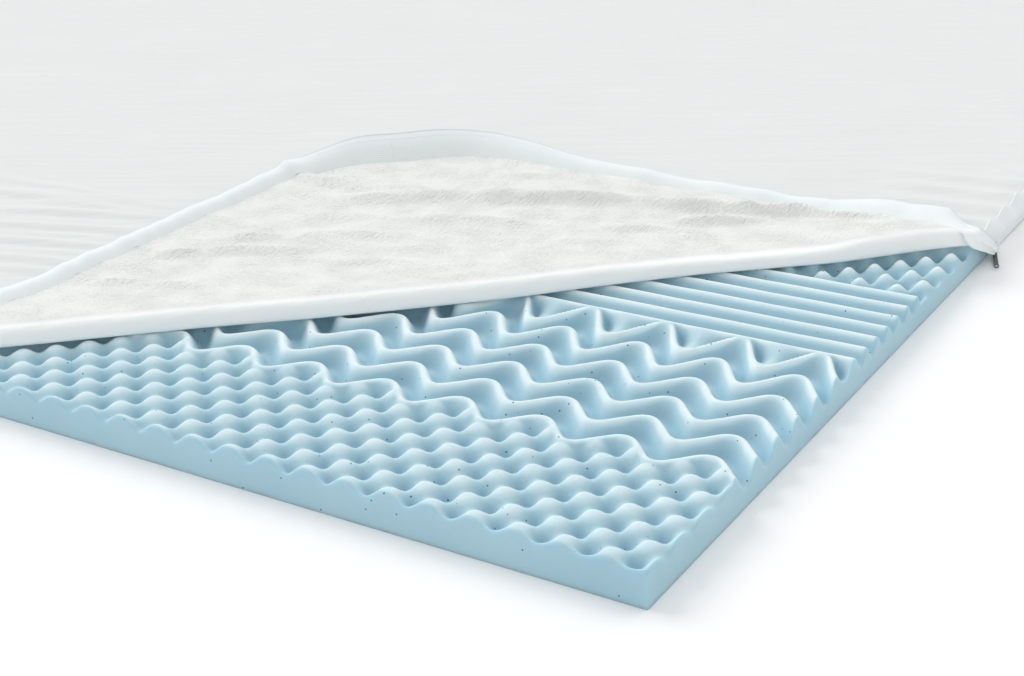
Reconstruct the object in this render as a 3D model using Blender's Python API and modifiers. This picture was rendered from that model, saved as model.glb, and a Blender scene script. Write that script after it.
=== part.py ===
"""Zoned foam mattress topper in a zipped cover, with the cover turned back at one corner.

The slab lies flat on its underside. Its top is cut in four zones along its length: egg-crate
bumps, chevron ridges, straight ridges and egg-crate peaks. The relief is cut where the cover
is turned back, and the top is plain under the cover.

Slab coordinates, used by every shape below: u runs leftwards from the slab's right side,
v runs backwards from its front side and z runs up from its underside. The bare corner is
u = 0, v = 0. The cover is folded along the line u + v = FOLD_LEG.
"""

from collections import namedtuple
from math import cos, exp, pi, radians, sin, sqrt

import bmesh
import bpy
from mathutils import Vector

# ---- Driving dimensions, in metres ----------------------------------------------------------

SLAB_WIDTH = 1.930
SLAB_LENGTH = 2.030
SLAB_THICKNESS = 0.035

PITCH_ACROSS = 0.0384           # one bump to the next in a row across the slab
PITCH_ALONG = 0.0431            # one row to the next but one, along the slab
COLUMN_STEP = PITCH_ACROSS / 2
ROW_STEP = PITCH_ALONG / 2
FIRST_COLUMN = 0.31             # the lattice's column count at the slab's right side
FIRST_ROW = -0.20               # the lattice's row count at the slab's front side

FOLD_LEG = 0.753                # from the bare corner to the fold, along either side
FOLD_LENGTH = FOLD_LEG * sqrt(2)
FOLD_BOW = 0.016                # how far the fold's middle bows towards the bare corner
RELIEF_REACH = FOLD_LEG + 0.040     # the relief ends a little behind the fold line

CLOTH = 0.0020                  # thickness of the cover's cloth
TAPE = 0.0012                   # thickness of the zip's tape
GAP = 0.0003                    # clearance between pieces that touch
SEAM_GAP = 0.0008               # between curved pieces sewn edge to edge
PANEL_HEIGHT = SLAB_THICKNESS + GAP     # the top panel's inner face above the underside
PANEL_OVERHANG = 0.0005         # of the top panel past the slab's sides
ROLL_RADIUS = 0.0075            # inside the roll where the cover turns back
ROLL_RADIUS_AT_SLIDER = 0.0040
BAND_HEIGHT = 0.029             # side band on the flap, from its seam to the zip's tape
TAPE_WIDTH = 0.010
HEM_HEIGHT = 0.0012             # lower edge of the side bands above the underside
BAND_BULGE = 0.0030
FRONT_BAND_START = 0.767        # from the bare corner to the front side's hanging band
RIGHT_BAND_START = 0.768        # the same on the right side, at the band's top
RIGHT_BAND_SLANT = 0.046        # how much further back that band starts at its foot
CLOSED_ZIP_START = 0.822

# Mesh lines
LINES_PER_HALF_PITCH = 2
LINES_PER_RIDGE = 4
FOLD_DIVISIONS = 30
ROLL_STEPS = 6
FLAP_STEPS = 14
BAND_STEPS = 4

# ---- The relief's zones, with lengths counted in half pitches -------------------------------

BUMP_DEPTH = 0.0150
BUMP_FULLNESS = 1.5             # broad crests and narrow pits
RIM_SHARE = 0.60                # of the bumps' depth that is left at the cut sides
RIM_WIDTH = 0.012
CHEVRON_DEPTH = 0.0165
CREST_ROUNDING = 0.0012         # where the bumps meet the first chevron
RIDGE_DEPTH = 0.0130
PEAK_DEPTH = 0.0175
PEAK_ROW_SHIFT = 0.5            # rows by which the last zone's peaks lie before the first's

CHEVRON_START = 6.5             # row of the first chevron's forward points
CHEVRON_SPACING = 1.94          # rows from one chevron to the next
CHEVRON_PERIOD = 4.0            # columns from one forward point to the next
LAST_CHEVRON = 5                # counted from 0
FORWARD_ROUNDING = 0.6          # columns over which a chevron turns at its forward points
BACKWARD_ROUNDING = 0.7
FIRST_REACH = 1.35              # rows from forward to backward points in the first chevron
LAST_REACH = 2.40               # and in the last one, whose points meet the first straight ridge
EYE_SADDLE = 0.45               # depth behind the last forward points, over the depth beside them
RIDGE_START = 18.7              # row of the first straight ridge
RIDGE_SPACING = 1.3
RIDGE_COUNT = 6                 # spaces between straight ridges
RIDGE_END = RIDGE_START + RIDGE_SPACING * RIDGE_COUNT

# ---- The flap's outline and the cover's creases ---------------------------------------------

FLAP_DEPTH = 0.410              # from the fold to the flap's rounded tip
FLAP_LEFT_INSET = 0.012         # how far the flap's left edge is drawn in
FLAP_RIGHT_INSET = 0.043
FLAP_TIP_ROUNDING = 0.050
FLAP_SETTLING = 0.110           # distance over which the flap sinks from the roll
FLAP_REST = 0.0050              # from the panel's inner face to the flap's, where it lies

# A crease is a soft ridge from one point to another, each (u, v).
Crease = namedtuple("Crease", "start end height width")

PANEL_CREASES = [
    Crease(start=(1.110, 0.447), end=(0.830, 0.440), height=0.0040, width=0.026),
    Crease(start=(1.050, 0.385), end=(0.850, 0.412), height=0.0045, width=0.024),
    Crease(start=(0.975, 0.320), end=(0.825, 0.368), height=0.0045, width=0.024),
    Crease(start=(0.935, 0.276), end=(0.815, 0.310), height=0.0040, width=0.022),
    Crease(start=(0.885, 0.230), end=(0.800, 0.260), height=0.0035, width=0.020),
]

FLAP_CREASES = [
    Crease(start=(0.640, 0.500), end=(0.090, 0.730), height=0.0060, width=0.030),
    Crease(start=(0.640, 0.300), end=(0.510, 0.375), height=0.0040, width=0.028),
    Crease(start=(0.690, 0.180), end=(0.610, 0.230), height=0.0035, width=0.024),
    Crease(start=(0.740, 0.590), end=(0.600, 0.585), height=0.0060, width=0.034),
    Crease(start=(0.560, 0.640), end=(0.330, 0.690), height=0.0050, width=0.036),
]

# The flap's side band, at distances along the fold from its front end. Lean is its rise in
# degrees from lying flat outwards, and hump is how far its middle is raised.
BandRow = namedtuple("BandRow", "along lean hump")

BAND_ROWS = [
    BandRow(along=0.000, lean=6, hump=0.004),
    BandRow(along=0.150, lean=8, hump=0.006),
    BandRow(along=0.370, lean=16, hump=0.006),
    BandRow(along=0.420, lean=48, hump=0.003),
    BandRow(along=0.465, lean=72, hump=0.000),
    BandRow(along=0.560, lean=76, hump=0.000),
    BandRow(along=0.620, lean=58, hump=0.002),
    BandRow(along=0.700, lean=24, hump=0.005),
    BandRow(along=0.850, lean=10, hump=0.005),
    BandRow(along=1.000, lean=16, hump=0.004),
    BandRow(along=1.070, lean=10, hump=0.003),
]

# Past the flap the band turns over the slab's side and runs slanting down it to the slider:
# its seam edge and its free edge, each (u, v, z).
TailRow = namedtuple("TailRow", "seam free")

TAIL_ROWS = [
    TailRow(seam=(0.0100, 0.755, 0.0490), free=(0.0120, 0.788, 0.0440)),
    TailRow(seam=(0.0000, 0.750, 0.0475), free=(0.0010, 0.780, 0.0450)),
    TailRow(seam=(-0.0055, 0.750, 0.0440), free=(-0.0045, 0.774, 0.0445)),
    TailRow(seam=(-0.0080, 0.754, 0.0380), free=(-0.0078, 0.773, 0.0415)),
    TailRow(seam=(-0.0084, 0.766, 0.0290), free=(-0.0084, 0.784, 0.0350)),
    TailRow(seam=(-0.0086, 0.786, 0.0190), free=(-0.0086, 0.803, 0.0250)),
    TailRow(seam=(-0.0088, 0.805, 0.0125), free=(-0.0088, 0.819, 0.0175)),
    TailRow(seam=(-0.0088, 0.819, 0.0115), free=(-0.0088, 0.829, 0.0130)),
]

# ---- The zip's hard pieces ------------------------------------------------------------------

SLIDER_CENTRE = (-0.0048, 0.830, 0.0065)
SLIDER_SIZE = (0.0050, 0.0095, 0.0080)      # out of the side, along it, and up
PULLER_START = (-0.0104, 0.8265, 0.0060)
PULLER_END = (-0.0170, 0.7960, 0.0022)
PULLER_WIDTH = 0.0050
PULLER_THICKNESS = 0.0018
PULLER_EYE = 0.0014                         # radius of the hole near the puller's end

Finish = namedtuple("Finish", "colour roughness metallic")

FINISHES = {
    "gel_foam": Finish(colour=(0.40, 0.62, 0.74), roughness=0.85, metallic=0.0),
    "knit_cloth": Finish(colour=(0.86, 0.86, 0.85), roughness=0.80, metallic=0.0),
    "band_cloth": Finish(colour=(0.80, 0.86, 0.87), roughness=0.70, metallic=0.0),
    "zip_tape": Finish(colour=(0.84, 0.88, 0.89), roughness=0.75, metallic=0.0),
    "white_metal": Finish(colour=(0.80, 0.82, 0.82), roughness=0.45, metallic=0.0),
    "black_metal": Finish(colour=(0.03, 0.03, 0.035), roughness=0.35, metallic=0.9),
}

# ---- Helpers --------------------------------------------------------------------------------


def smooth(x):
    """0 below 0, 1 above 1, and an even S between them."""
    x = min(max(x, 0.0), 1.0)
    return x * x * (3 - 2 * x)


def soft_minimum(values, rounding):
    """The least of the values, rounded off where two of them are close."""
    least = min(values)
    return least + rounding * (1 - sum(exp((least - value) / rounding) for value in values))


def crease_height(creases, u, v):
    """Sum of the creases' heights at a point. Each fades to nothing at its ends."""
    total = 0.0
    for crease in creases:
        start, end, point = Vector(crease.start), Vector(crease.end), Vector((u, v))
        run = end - start
        share = min(max((point - start).dot(run) / run.length_squared, 0.0), 1.0)
        distance = (point - start - run * share).length
        total += crease.height * sqrt(sin(pi * share)) * exp(-(distance / crease.width) ** 2)
    return total


def to_object(u, v, z):
    """Slab coordinates to the object's own: x to the right, y to the back, z up."""
    return Vector((SLAB_WIDTH / 2 - u, v - SLAB_LENGTH / 2, z))


def make_material(name):
    """One Principled material from the table of finishes."""
    finish = FINISHES[name]
    material = bpy.data.materials.new(name)
    material.use_nodes = True
    shader = material.node_tree.nodes["Principled BSDF"]
    shader.inputs["Base Color"].default_value = (*finish.colour, 1.0)
    shader.inputs["Roughness"].default_value = finish.roughness
    shader.inputs["Metallic"].default_value = finish.metallic
    return material


def mapped_grid(columns, rows, place):
    """Grid primitive whose vertex in a column and row is put at place(column, row)."""
    bm = bmesh.new()
    bmesh.ops.create_grid(bm, x_segments=len(columns) - 1, y_segments=len(rows) - 1, size=0.5)
    for vertex in bm.verts:
        column = columns[round((vertex.co.x + 0.5) * (len(columns) - 1))]
        row = rows[round((vertex.co.y + 0.5) * (len(rows) - 1))]
        vertex.co = place(column, row)
    return bm


def add_piece(name, bm, material, wall=0.0):
    """A named object from a bmesh in slab coordinates, with the thickness of its wall.

    x runs to the right and u to the left, so the mesh is mirrored and its faces turned back.
    """
    for vertex in bm.verts:
        vertex.co = to_object(*vertex.co)
    bmesh.ops.reverse_faces(bm, faces=bm.faces)
    mesh = bpy.data.meshes.new(name)
    bm.to_mesh(mesh)
    bm.free()
    mesh.shade_smooth()
    mesh.set_sharp_from_angle(angle=radians(40))
    piece = bpy.data.objects.new(name, mesh)
    piece.data.materials.append(material)
    bpy.data.collections["mattress_topper"].objects.link(piece)
    if wall:
        solidify = piece.modifiers.new("wall", "SOLIDIFY")
        solidify.thickness = wall
        solidify.offset = 1.0
        solidify.use_even_offset = True
    return piece


# ---- Foam slab ------------------------------------------------------------------------------


def forward_distance(column):
    """Columns to the nearest forward point, from 0 to 2."""
    turn = column / CHEVRON_PERIOD % 1.0
    return CHEVRON_PERIOD * min(turn, 1 - turn)


def zigzag(column):
    """How far back a chevron lies at a column: 0 at its forward points, 1 at its backward ones.

    Its legs are straight, and each corner is a piece of a parabola.
    """
    leg = CHEVRON_PERIOD / 2
    distance = forward_distance(column)
    climb = min(distance, FORWARD_ROUNDING) ** 2 / (2 * FORWARD_ROUNDING)
    climb += max(distance - FORWARD_ROUNDING, 0.0)
    climb -= max(distance - (leg - BACKWARD_ROUNDING), 0.0) ** 2 / (2 * BACKWARD_ROUNDING)
    return climb / (leg - (FORWARD_ROUNDING + BACKWARD_ROUNDING) / 2)


def chevron_row(column, count):
    """Row of a chevron's crest at a column. The chevrons reach further back from first to last."""
    reach = FIRST_REACH + (LAST_REACH - FIRST_REACH) * max(count / LAST_CHEVRON, 0.0) ** 4
    return CHEVRON_START + CHEVRON_SPACING * count + reach * zigzag(column)


def chevron_count(column, row):
    """The chevron count, with its fraction, whose crest would pass through a point."""
    count = (row - chevron_row(column, 0)) / CHEVRON_SPACING
    for _ in range(12):
        count += (row - chevron_row(column, count)) / CHEVRON_SPACING
    return count


def bump_drop(column, row, depth):
    """Egg crate: peaks where column and row are both even or both odd, pits between."""
    return depth * ((1 - cos(pi * column) * cos(pi * row)) / 2) ** BUMP_FULLNESS


def ridge_drop(phase, depth):
    """Ridge crests at whole phases, with round valleys between."""
    return depth * (1 - cos(2 * pi * phase)) / 2


def foam_drop(u, v):
    """How far the slab's top lies below its crests."""
    if u + v > RELIEF_REACH:
        return 0.0
    column = FIRST_COLUMN + u / COLUMN_STEP
    row = FIRST_ROW + v / ROW_STEP
    if row >= RIDGE_START:
        ridges = ridge_drop((row - RIDGE_START) / RIDGE_SPACING, RIDGE_DEPTH)
        into_peaks = smooth((row - RIDGE_END) / RIDGE_SPACING)
        peaks = bump_drop(column, row + PEAK_ROW_SHIFT, PEAK_DEPTH)
        return ridges + (peaks - ridges) * into_peaks
    last_row = chevron_row(column, LAST_CHEVRON)
    if row >= last_row:
        room = RIDGE_START - last_row
        beside = smooth(forward_distance(column))
        depth = CHEVRON_DEPTH * smooth(room / 1.6) * (EYE_SADDLE + (1 - EYE_SADDLE) * beside)
        return ridge_drop((row - last_row) / room, depth)
    count = chevron_count(column, row)
    chevron = ridge_drop(max(count, -0.5), CHEVRON_DEPTH)
    if count >= 0:
        return chevron
    inside = smooth(min(u, v) / RIM_WIDTH)
    depth = BUMP_DEPTH * (RIM_SHARE + (1 - RIM_SHARE) * inside)
    return soft_minimum([bump_drop(column, row, depth), chevron], CREST_ROUNDING)


def relief_lines():
    """Mesh lines across and along the slab: fine over the relief, then its far sides."""
    step = 1 / LINES_PER_HALF_PITCH
    columns = [0.0]
    count = 1.0
    while columns[-1] < RELIEF_REACH:
        columns.append((count - FIRST_COLUMN) * COLUMN_STEP)
        count += step
    counts = [step * k for k in range(int(RIDGE_START / step))]
    counts += [RIDGE_START + RIDGE_SPACING * k / LINES_PER_RIDGE
               for k in range(RIDGE_COUNT * LINES_PER_RIDGE + 1)]
    count = RIDGE_END + step
    while (count - FIRST_ROW) * ROW_STEP < RELIEF_REACH + ROW_STEP:
        counts.append(count)
        count += step
    rows = [0.0] + [(count - FIRST_ROW) * ROW_STEP for count in counts]
    return columns + [SLAB_WIDTH], rows + [SLAB_LENGTH]


def split_along_relief(bm):
    """Cut each face in two along the diagonal that lies nearer the relief at its middle."""
    first, second = [], []
    for face in bm.faces:
        middle = face.calc_center_median()
        height = SLAB_THICKNESS - foam_drop(middle.x, middle.y)
        heights = [vertex.co.z for vertex in face.verts]
        misses = [abs((heights[k] + heights[k + 2]) / 2 - height) for k in (0, 1)]
        (first if misses[0] <= misses[1] else second).append(face)
    bmesh.ops.triangulate(bm, faces=first, quad_method="FIXED")
    bmesh.ops.triangulate(bm, faces=second, quad_method="ALTERNATE")


def make_foam(material):
    """The slab: the relief's surface carried down to a flat underside."""
    columns, rows = relief_lines()
    bm = mapped_grid(columns, rows, lambda u, v: (u, v, SLAB_THICKNESS - foam_drop(u, v)))
    split_along_relief(bm)
    grown = bmesh.ops.extrude_face_region(bm, geom=bm.faces[:])
    for part in grown["geom"]:
        if isinstance(part, bmesh.types.BMVert):
            part.co.z = 0.0
    bmesh.ops.recalc_face_normals(bm, faces=bm.faces)
    slab = add_piece("foam_slab", bm, material)
    flats = slab.modifiers.new("merge_flats", "DECIMATE")
    flats.decimate_type = "DISSOLVE"
    flats.angle_limit = radians(0.1)
    return slab


# ---- Cover ----------------------------------------------------------------------------------


def fold_to_slab(along, across):
    """(u, v) of a point counted along the fold from its front end, and behind it."""
    return FOLD_LEG + (across - along) / sqrt(2), (along + across) / sqrt(2)


def along_fold(point):
    """Distance along the fold from its front end, the same for all of a line across it."""
    return (point.y - point.x + FOLD_LEG) / sqrt(2)


def roll_radius(along):
    """Inner radius of the roll, which tightens towards the slider."""
    tight = smooth((along / FOLD_LENGTH - 0.6) / 0.4)
    return ROLL_RADIUS + (ROLL_RADIUS_AT_SLIDER - ROLL_RADIUS) * tight


def fold_bow(along):
    """How far the fold lies in front of the straight line between its ends."""
    return FOLD_BOW * sin(pi * min(max(along / FOLD_LENGTH, 0.0), 1.0))


def roll_point(along, turn):
    """Inner face of the roll, from the panel (turn 0) round to the flap (turn pi)."""
    radius = roll_radius(along)
    across = radius * (1 - sin(turn)) - fold_bow(along)
    return Vector((*fold_to_slab(along, across), PANEL_HEIGHT + radius * (1 - cos(turn))))


def flap_edge(along):
    """How far behind the fold line the flap's free edge lies."""
    left = along - FLAP_LEFT_INSET
    right = FOLD_LENGTH - FLAP_RIGHT_INSET - along
    edge = soft_minimum([left, right, FLAP_DEPTH], FLAP_TIP_ROUNDING)
    return max(edge, 2.5 * roll_radius(along))


def flap_point(along, share):
    """Inner face of the flap, which looks up: share 0 at the roll, 1 at the free edge."""
    radius = roll_radius(along)
    start = radius - fold_bow(along)
    across = start + share * (flap_edge(along) - start)
    u, v = fold_to_slab(along, across)
    sunk = smooth((across - start) / FLAP_SETTLING)
    lying = FLAP_REST + crease_height(FLAP_CREASES, u, v)
    return Vector((u, v, PANEL_HEIGHT + 2 * radius + (lying - 2 * radius) * sunk))


def fold_stations():
    """Distances along the fold at which the panel and the flap's bands have mesh lines."""
    overrun = PANEL_OVERHANG * sqrt(2)
    length = FOLD_LENGTH + 2 * overrun
    return [length * k / FOLD_DIVISIONS - overrun for k in range(FOLD_DIVISIONS + 1)]


def make_panel(material):
    """The top panel: one cloth that lies on the slab, rolls over at the fold and lies back."""
    step = (FOLD_LEG + 2 * PANEL_OVERHANG) / FOLD_DIVISIONS
    near = [step * k - PANEL_OVERHANG for k in range(FOLD_DIVISIONS + 1)]
    creases_end = max(crease.start[0] for crease in PANEL_CREASES)
    creased = [near[-1] + step * k for k in range(1, round((creases_end - near[-1]) / step) + 2)]
    columns = near + creased + [SLAB_WIDTH + PANEL_OVERHANG]
    rows = near + [SLAB_LENGTH + PANEL_OVERHANG]
    bm = mapped_grid(columns, rows,
                     lambda u, v: (u, v, PANEL_HEIGHT + crease_height(PANEL_CREASES, u, v)))
    cut = bmesh.ops.bisect_plane(
        bm, geom=bm.verts[:] + bm.edges[:] + bm.faces[:], dist=1e-6,
        plane_co=(FOLD_LEG, 0, 0), plane_no=(-1, -1, 0), clear_outer=True)
    edges = [part for part in cut["geom_cut"] if isinstance(part, bmesh.types.BMEdge)]
    for vertex in {vertex for edge in edges for vertex in edge.verts}:
        vertex.co = roll_point(along_fold(vertex.co), 0.0)

    def grow(edges, place, share):
        """Extrude the cloth's front edge and put the new line at place(along, share)."""
        grown = bmesh.ops.extrude_edge_only(bm, edges=edges)["geom"]
        for part in grown:
            if isinstance(part, bmesh.types.BMVert):
                part.co = place(along_fold(part.co), share)
        return [part for part in grown if isinstance(part, bmesh.types.BMEdge)]

    for k in range(1, ROLL_STEPS + 1):
        edges = grow(edges, roll_point, pi * k / ROLL_STEPS)
    for k in range(1, FLAP_STEPS + 1):
        edges = grow(edges, flap_point, k / FLAP_STEPS)
    panel = add_piece("cover_top_panel", bm, material, wall=CLOTH)
    flats = panel.modifiers.new("merge_flats", "DECIMATE")
    flats.decimate_type = "DISSOLVE"
    flats.angle_limit = radians(0.1)
    return panel


def band_profile(along):
    """Lean, in radians, and hump of the flap's band, between the rows of its table."""
    after = next(k for k, row in enumerate(BAND_ROWS) if row.along >= along or k == len(BAND_ROWS) - 1)
    last, row = BAND_ROWS[max(after - 1, 0)], BAND_ROWS[after]
    share = smooth((along - last.along) / max(row.along - last.along, GAP))
    lean = last.lean + (row.lean - last.lean) * share
    return radians(lean), last.hump + (row.hump - last.hump) * share


def band_line(along):
    """The flap's band at a distance along the fold: seam point, outward direction, profile."""
    nearby = 0.004
    before, after = flap_point(along - nearby, 1.0), flap_point(along + nearby, 1.0)
    tangent = after - before
    outward = Vector((-tangent.y, tangent.x, 0)).normalized()
    if outward.x + outward.y < 0:
        outward.negate()
    return flap_point(along, 1.0) + outward * GAP, outward


def band_point(along, width):
    """Inner face of the flap's band, at a width outwards from its seam."""
    seam, outward = band_line(along)
    lean, hump = band_profile(along)
    rise = Vector((0, 0, 1))
    level = outward * cos(lean) + rise * sin(lean)
    normal = rise * cos(lean) - outward * sin(lean)
    share = min(width / (BAND_HEIGHT + TAPE_WIDTH), 1.0)
    return seam + level * width + normal * hump * sin(pi * share)


def tail_point(row, width):
    """Inner face of the band between its last row on the flap and the slider."""
    share = width / (BAND_HEIGHT + TAPE_WIDTH)
    return Vector(row.seam).lerp(Vector(row.free), share)


def make_turned_band(name, material, stations, tail, inner, outer, wall):
    """A strip of the flap's side band between two widths, over stations and the tail."""
    lines = [(band_point, along) for along in stations] + [(tail_point, row) for row in tail]
    widths = [inner + (outer - inner) * k / BAND_STEPS for k in range(BAND_STEPS + 1)]
    bm = mapped_grid(widths, list(range(len(lines))),
                     lambda width, k: lines[k][0](lines[k][1], width))
    bmesh.ops.reverse_faces(bm, faces=bm.faces)
    return add_piece(name, bm, material, wall=wall)


def make_side_band(name, material, start, end, outward, foot, top,
                   bulge=BAND_BULGE, wall=CLOTH, slant=0.0):
    """A hanging strip of the side band, straight in plan, with a soft bulge outwards.

    Its foot starts further along than its top by the slant.
    """
    start, end, outward = Vector((*start, 0)), Vector((*end, 0)), Vector((*outward, 0))
    lean = (end - start).normalized() * slant

    def place(share, rise):
        swell = outward * bulge * sin(pi * rise)
        level = (start + lean * (1 - rise)).lerp(end, share)
        return level + swell + Vector((0, 0, foot + (top - foot) * rise))

    heights = [k / BAND_STEPS for k in range(BAND_STEPS + 1)]
    bm = mapped_grid([0.0, 1.0], heights, place)
    bm.normal_update()
    if next(iter(bm.faces)).normal.dot(outward) < 0:
        bmesh.ops.reverse_faces(bm, faces=bm.faces)
    return add_piece(name, bm, material, wall=wall)


def make_side_bands(material):
    """The parts of the side band that still hang at the slab's sides, and stop at its corners."""
    top = PANEL_HEIGHT + CLOTH
    near, left, back = -PANEL_OVERHANG - GAP, SLAB_WIDTH + PANEL_OVERHANG, SLAB_LENGTH + PANEL_OVERHANG
    corner = CLOTH + GAP
    make_side_band("side_band_front", material, (FRONT_BAND_START, near),
                   (left, near), (0, -1), HEM_HEIGHT, top)
    make_side_band("side_band_left", material, (left + GAP, near - corner), (left + GAP, back + corner),
                   (1, 0), HEM_HEIGHT, top)
    make_side_band("side_band_back", material, (near, back + GAP), (left, back + GAP),
                   (0, 1), HEM_HEIGHT, top)
    tape_top = HEM_HEIGHT + TAPE_WIDTH
    make_side_band("side_band_right", material, (near, RIGHT_BAND_START), (near, back + corner),
                   (-1, 0), tape_top + 4 * GAP, top, slant=RIGHT_BAND_SLANT)


# ---- Zip ------------------------------------------------------------------------------------


def make_closed_zip(material):
    """The closed stretch of the zip, along the foot of the right side band."""
    side, back = -PANEL_OVERHANG - GAP, SLAB_LENGTH + PANEL_OVERHANG + CLOTH + GAP
    make_side_band("zip_closed", material, (side, CLOSED_ZIP_START), (side, back), (-1, 0),
                   HEM_HEIGHT, HEM_HEIGHT + TAPE_WIDTH, bulge=0.0, wall=TAPE)


def make_block(name, material, size, centre, bevel):
    """A box with rounded edges, centred on a point in slab coordinates."""
    bm = bmesh.new()
    bmesh.ops.create_cube(bm, size=1.0)
    bmesh.ops.scale(bm, vec=size, verts=bm.verts)
    mesh = bpy.data.meshes.new(name)
    bm.to_mesh(mesh)
    bm.free()
    block = bpy.data.objects.new(name, mesh)
    block.location = to_object(*centre)
    block.data.materials.append(material)
    bpy.data.collections["mattress_topper"].objects.link(block)
    if bevel:
        edges = block.modifiers.new("rounded_edges", "BEVEL")
        edges.width = bevel
        edges.segments = 2
    return block


def make_puller(material):
    """The puller: a flat tab from the slider to the surface, with an eye near its end."""
    start, end = to_object(*PULLER_START), to_object(*PULLER_END)
    run = end - start
    middle = [(a + b) / 2 for a, b in zip(PULLER_START, PULLER_END)]
    tab = make_block("zip_puller", material, (run.length, PULLER_WIDTH, PULLER_THICKNESS), middle,
                     PULLER_THICKNESS / 4)
    tab.rotation_euler = run.to_track_quat("X", "Z").to_euler()
    bm = bmesh.new()
    bmesh.ops.create_cone(bm, cap_ends=True, segments=16, radius1=PULLER_EYE, radius2=PULLER_EYE,
                          depth=4 * PULLER_THICKNESS)
    bmesh.ops.translate(bm, vec=(run.length / 2 - PULLER_WIDTH / 2, 0, 0), verts=bm.verts)
    mesh = bpy.data.meshes.new("eye_cutter")
    bm.to_mesh(mesh)
    bm.free()
    cutter = bpy.data.objects.new("eye_cutter", mesh)
    cutter.location, cutter.rotation_euler = tab.location, tab.rotation_euler
    cutter.hide_render = True
    cutter.display_type = "WIRE"
    bpy.data.collections["cutters"].objects.link(cutter)
    eye = tab.modifiers.new("eye", "BOOLEAN")
    eye.operation = "DIFFERENCE"
    eye.solver = "EXACT"
    eye.object = cutter
    return tab


def centre_on_floor():
    """Parent everything to an empty that puts the pieces' box at the origin, standing on z 0."""
    bpy.context.view_layer.update()
    graph = bpy.context.evaluated_depsgraph_get()
    corners = []
    for piece in bpy.data.collections["mattress_topper"].objects:
        solid = piece.evaluated_get(graph)
        corners += [solid.matrix_world @ Vector(corner) for corner in solid.bound_box]
    low = [min(corner[axis] for corner in corners) for axis in range(3)]
    high = [max(corner[axis] for corner in corners) for axis in range(3)]
    root = bpy.data.objects.new("topper_root", None)
    root.location = (-(low[0] + high[0]) / 2, -(low[1] + high[1]) / 2, -low[2])
    bpy.context.scene.collection.objects.link(root)
    for name in ("mattress_topper", "cutters"):
        for piece in bpy.data.collections[name].objects:
            piece.parent = root


def main():
    """Build the topper."""
    for item in list(bpy.data.objects):
        bpy.data.objects.remove(item)
    for name in ("mattress_topper", "cutters"):
        bpy.context.scene.collection.children.link(bpy.data.collections.new(name))
    materials = {name: make_material(name) for name in FINISHES}
    make_foam(materials["gel_foam"])
    make_panel(materials["knit_cloth"])
    make_side_bands(materials["band_cloth"])

    stations = fold_stations()
    middle = FOLD_DIVISIONS // 2
    left = stations[:middle] + [stations[middle] - GAP]
    right = [stations[middle] + GAP] + stations[middle + 1:-1]
    make_turned_band("turned_band_left", materials["band_cloth"], left, [], 0.0, BAND_HEIGHT, CLOTH)
    make_turned_band("turned_band_right", materials["band_cloth"], right, TAIL_ROWS,
                     0.0, BAND_HEIGHT, CLOTH)
    make_turned_band("zip_tape_open", materials["zip_tape"], stations[:-1], TAIL_ROWS,
                     BAND_HEIGHT + SEAM_GAP, BAND_HEIGHT + TAPE_WIDTH, TAPE)
    make_closed_zip(materials["zip_tape"])
    make_block("zip_slider", materials["white_metal"], SLIDER_SIZE, SLIDER_CENTRE, SLIDER_SIZE[0] / 5)
    make_puller(materials["black_metal"])
    centre_on_floor()


main()
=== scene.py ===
"""Foam mattress topper in a zipped knit cover, with the cover folded back at one corner.

The bare corner shows the foam's relief: egg-crate bumps, chevron ridges, straight ridges and
egg-crate peaks. Shapes are worked out in slab coordinates: u runs leftwards from the slab's right
side, v backwards from its front side and z up from its underside, all in metres. The bare corner
is u = 0, v = 0, and the cover is folded along the line u + v = FOLD_LEG.
"""

from __future__ import annotations

import logging
from dataclasses import dataclass, field
from enum import Enum
from math import pi, radians, sqrt

import bmesh
import bpy
import numpy as np
from mathutils import Matrix, Vector


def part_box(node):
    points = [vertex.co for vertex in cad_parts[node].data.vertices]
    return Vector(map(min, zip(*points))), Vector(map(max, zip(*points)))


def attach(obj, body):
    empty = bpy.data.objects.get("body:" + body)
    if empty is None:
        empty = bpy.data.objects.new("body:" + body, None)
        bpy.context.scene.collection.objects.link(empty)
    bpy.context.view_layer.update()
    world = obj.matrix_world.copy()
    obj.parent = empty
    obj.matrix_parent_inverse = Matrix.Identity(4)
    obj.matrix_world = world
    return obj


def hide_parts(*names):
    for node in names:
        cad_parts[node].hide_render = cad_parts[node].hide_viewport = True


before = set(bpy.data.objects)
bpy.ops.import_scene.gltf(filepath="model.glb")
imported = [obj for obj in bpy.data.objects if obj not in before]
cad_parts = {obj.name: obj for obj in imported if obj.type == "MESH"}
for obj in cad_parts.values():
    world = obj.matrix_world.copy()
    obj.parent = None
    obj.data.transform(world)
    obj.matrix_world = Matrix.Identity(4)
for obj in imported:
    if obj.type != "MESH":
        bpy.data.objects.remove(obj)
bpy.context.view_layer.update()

LOG = logging.getLogger("topper")

SLAB_WIDTH = 1.930
SLAB_LENGTH = 2.030
SLAB_THICKNESS = 0.035
FOLD_LEG = 0.753                # from the bare corner to the fold, along either side
FOLD_LENGTH = FOLD_LEG * sqrt(2)
CLOTH = 0.0020                  # thickness of the knits
TAPE = 0.0012                   # thickness of the zip's tape
GAP = 0.0003                    # left between cloths that lie on one another
PANEL_HEIGHT = SLAB_THICKNESS + GAP
PANEL_OVERHANG = 0.0005

READINGS = 13                   # that an average over a table is made of
RIPPLE_WAVES = 7
RIPPLE_SPREAD = (0.7, 1.5)      # shortest and longest wave, as shares of the mean
TINY = 1e-9                     # keeps a divisor away from nothing

Array = np.ndarray


# ---- Numbers on arrays ----------------------------------------------------------------------


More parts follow.
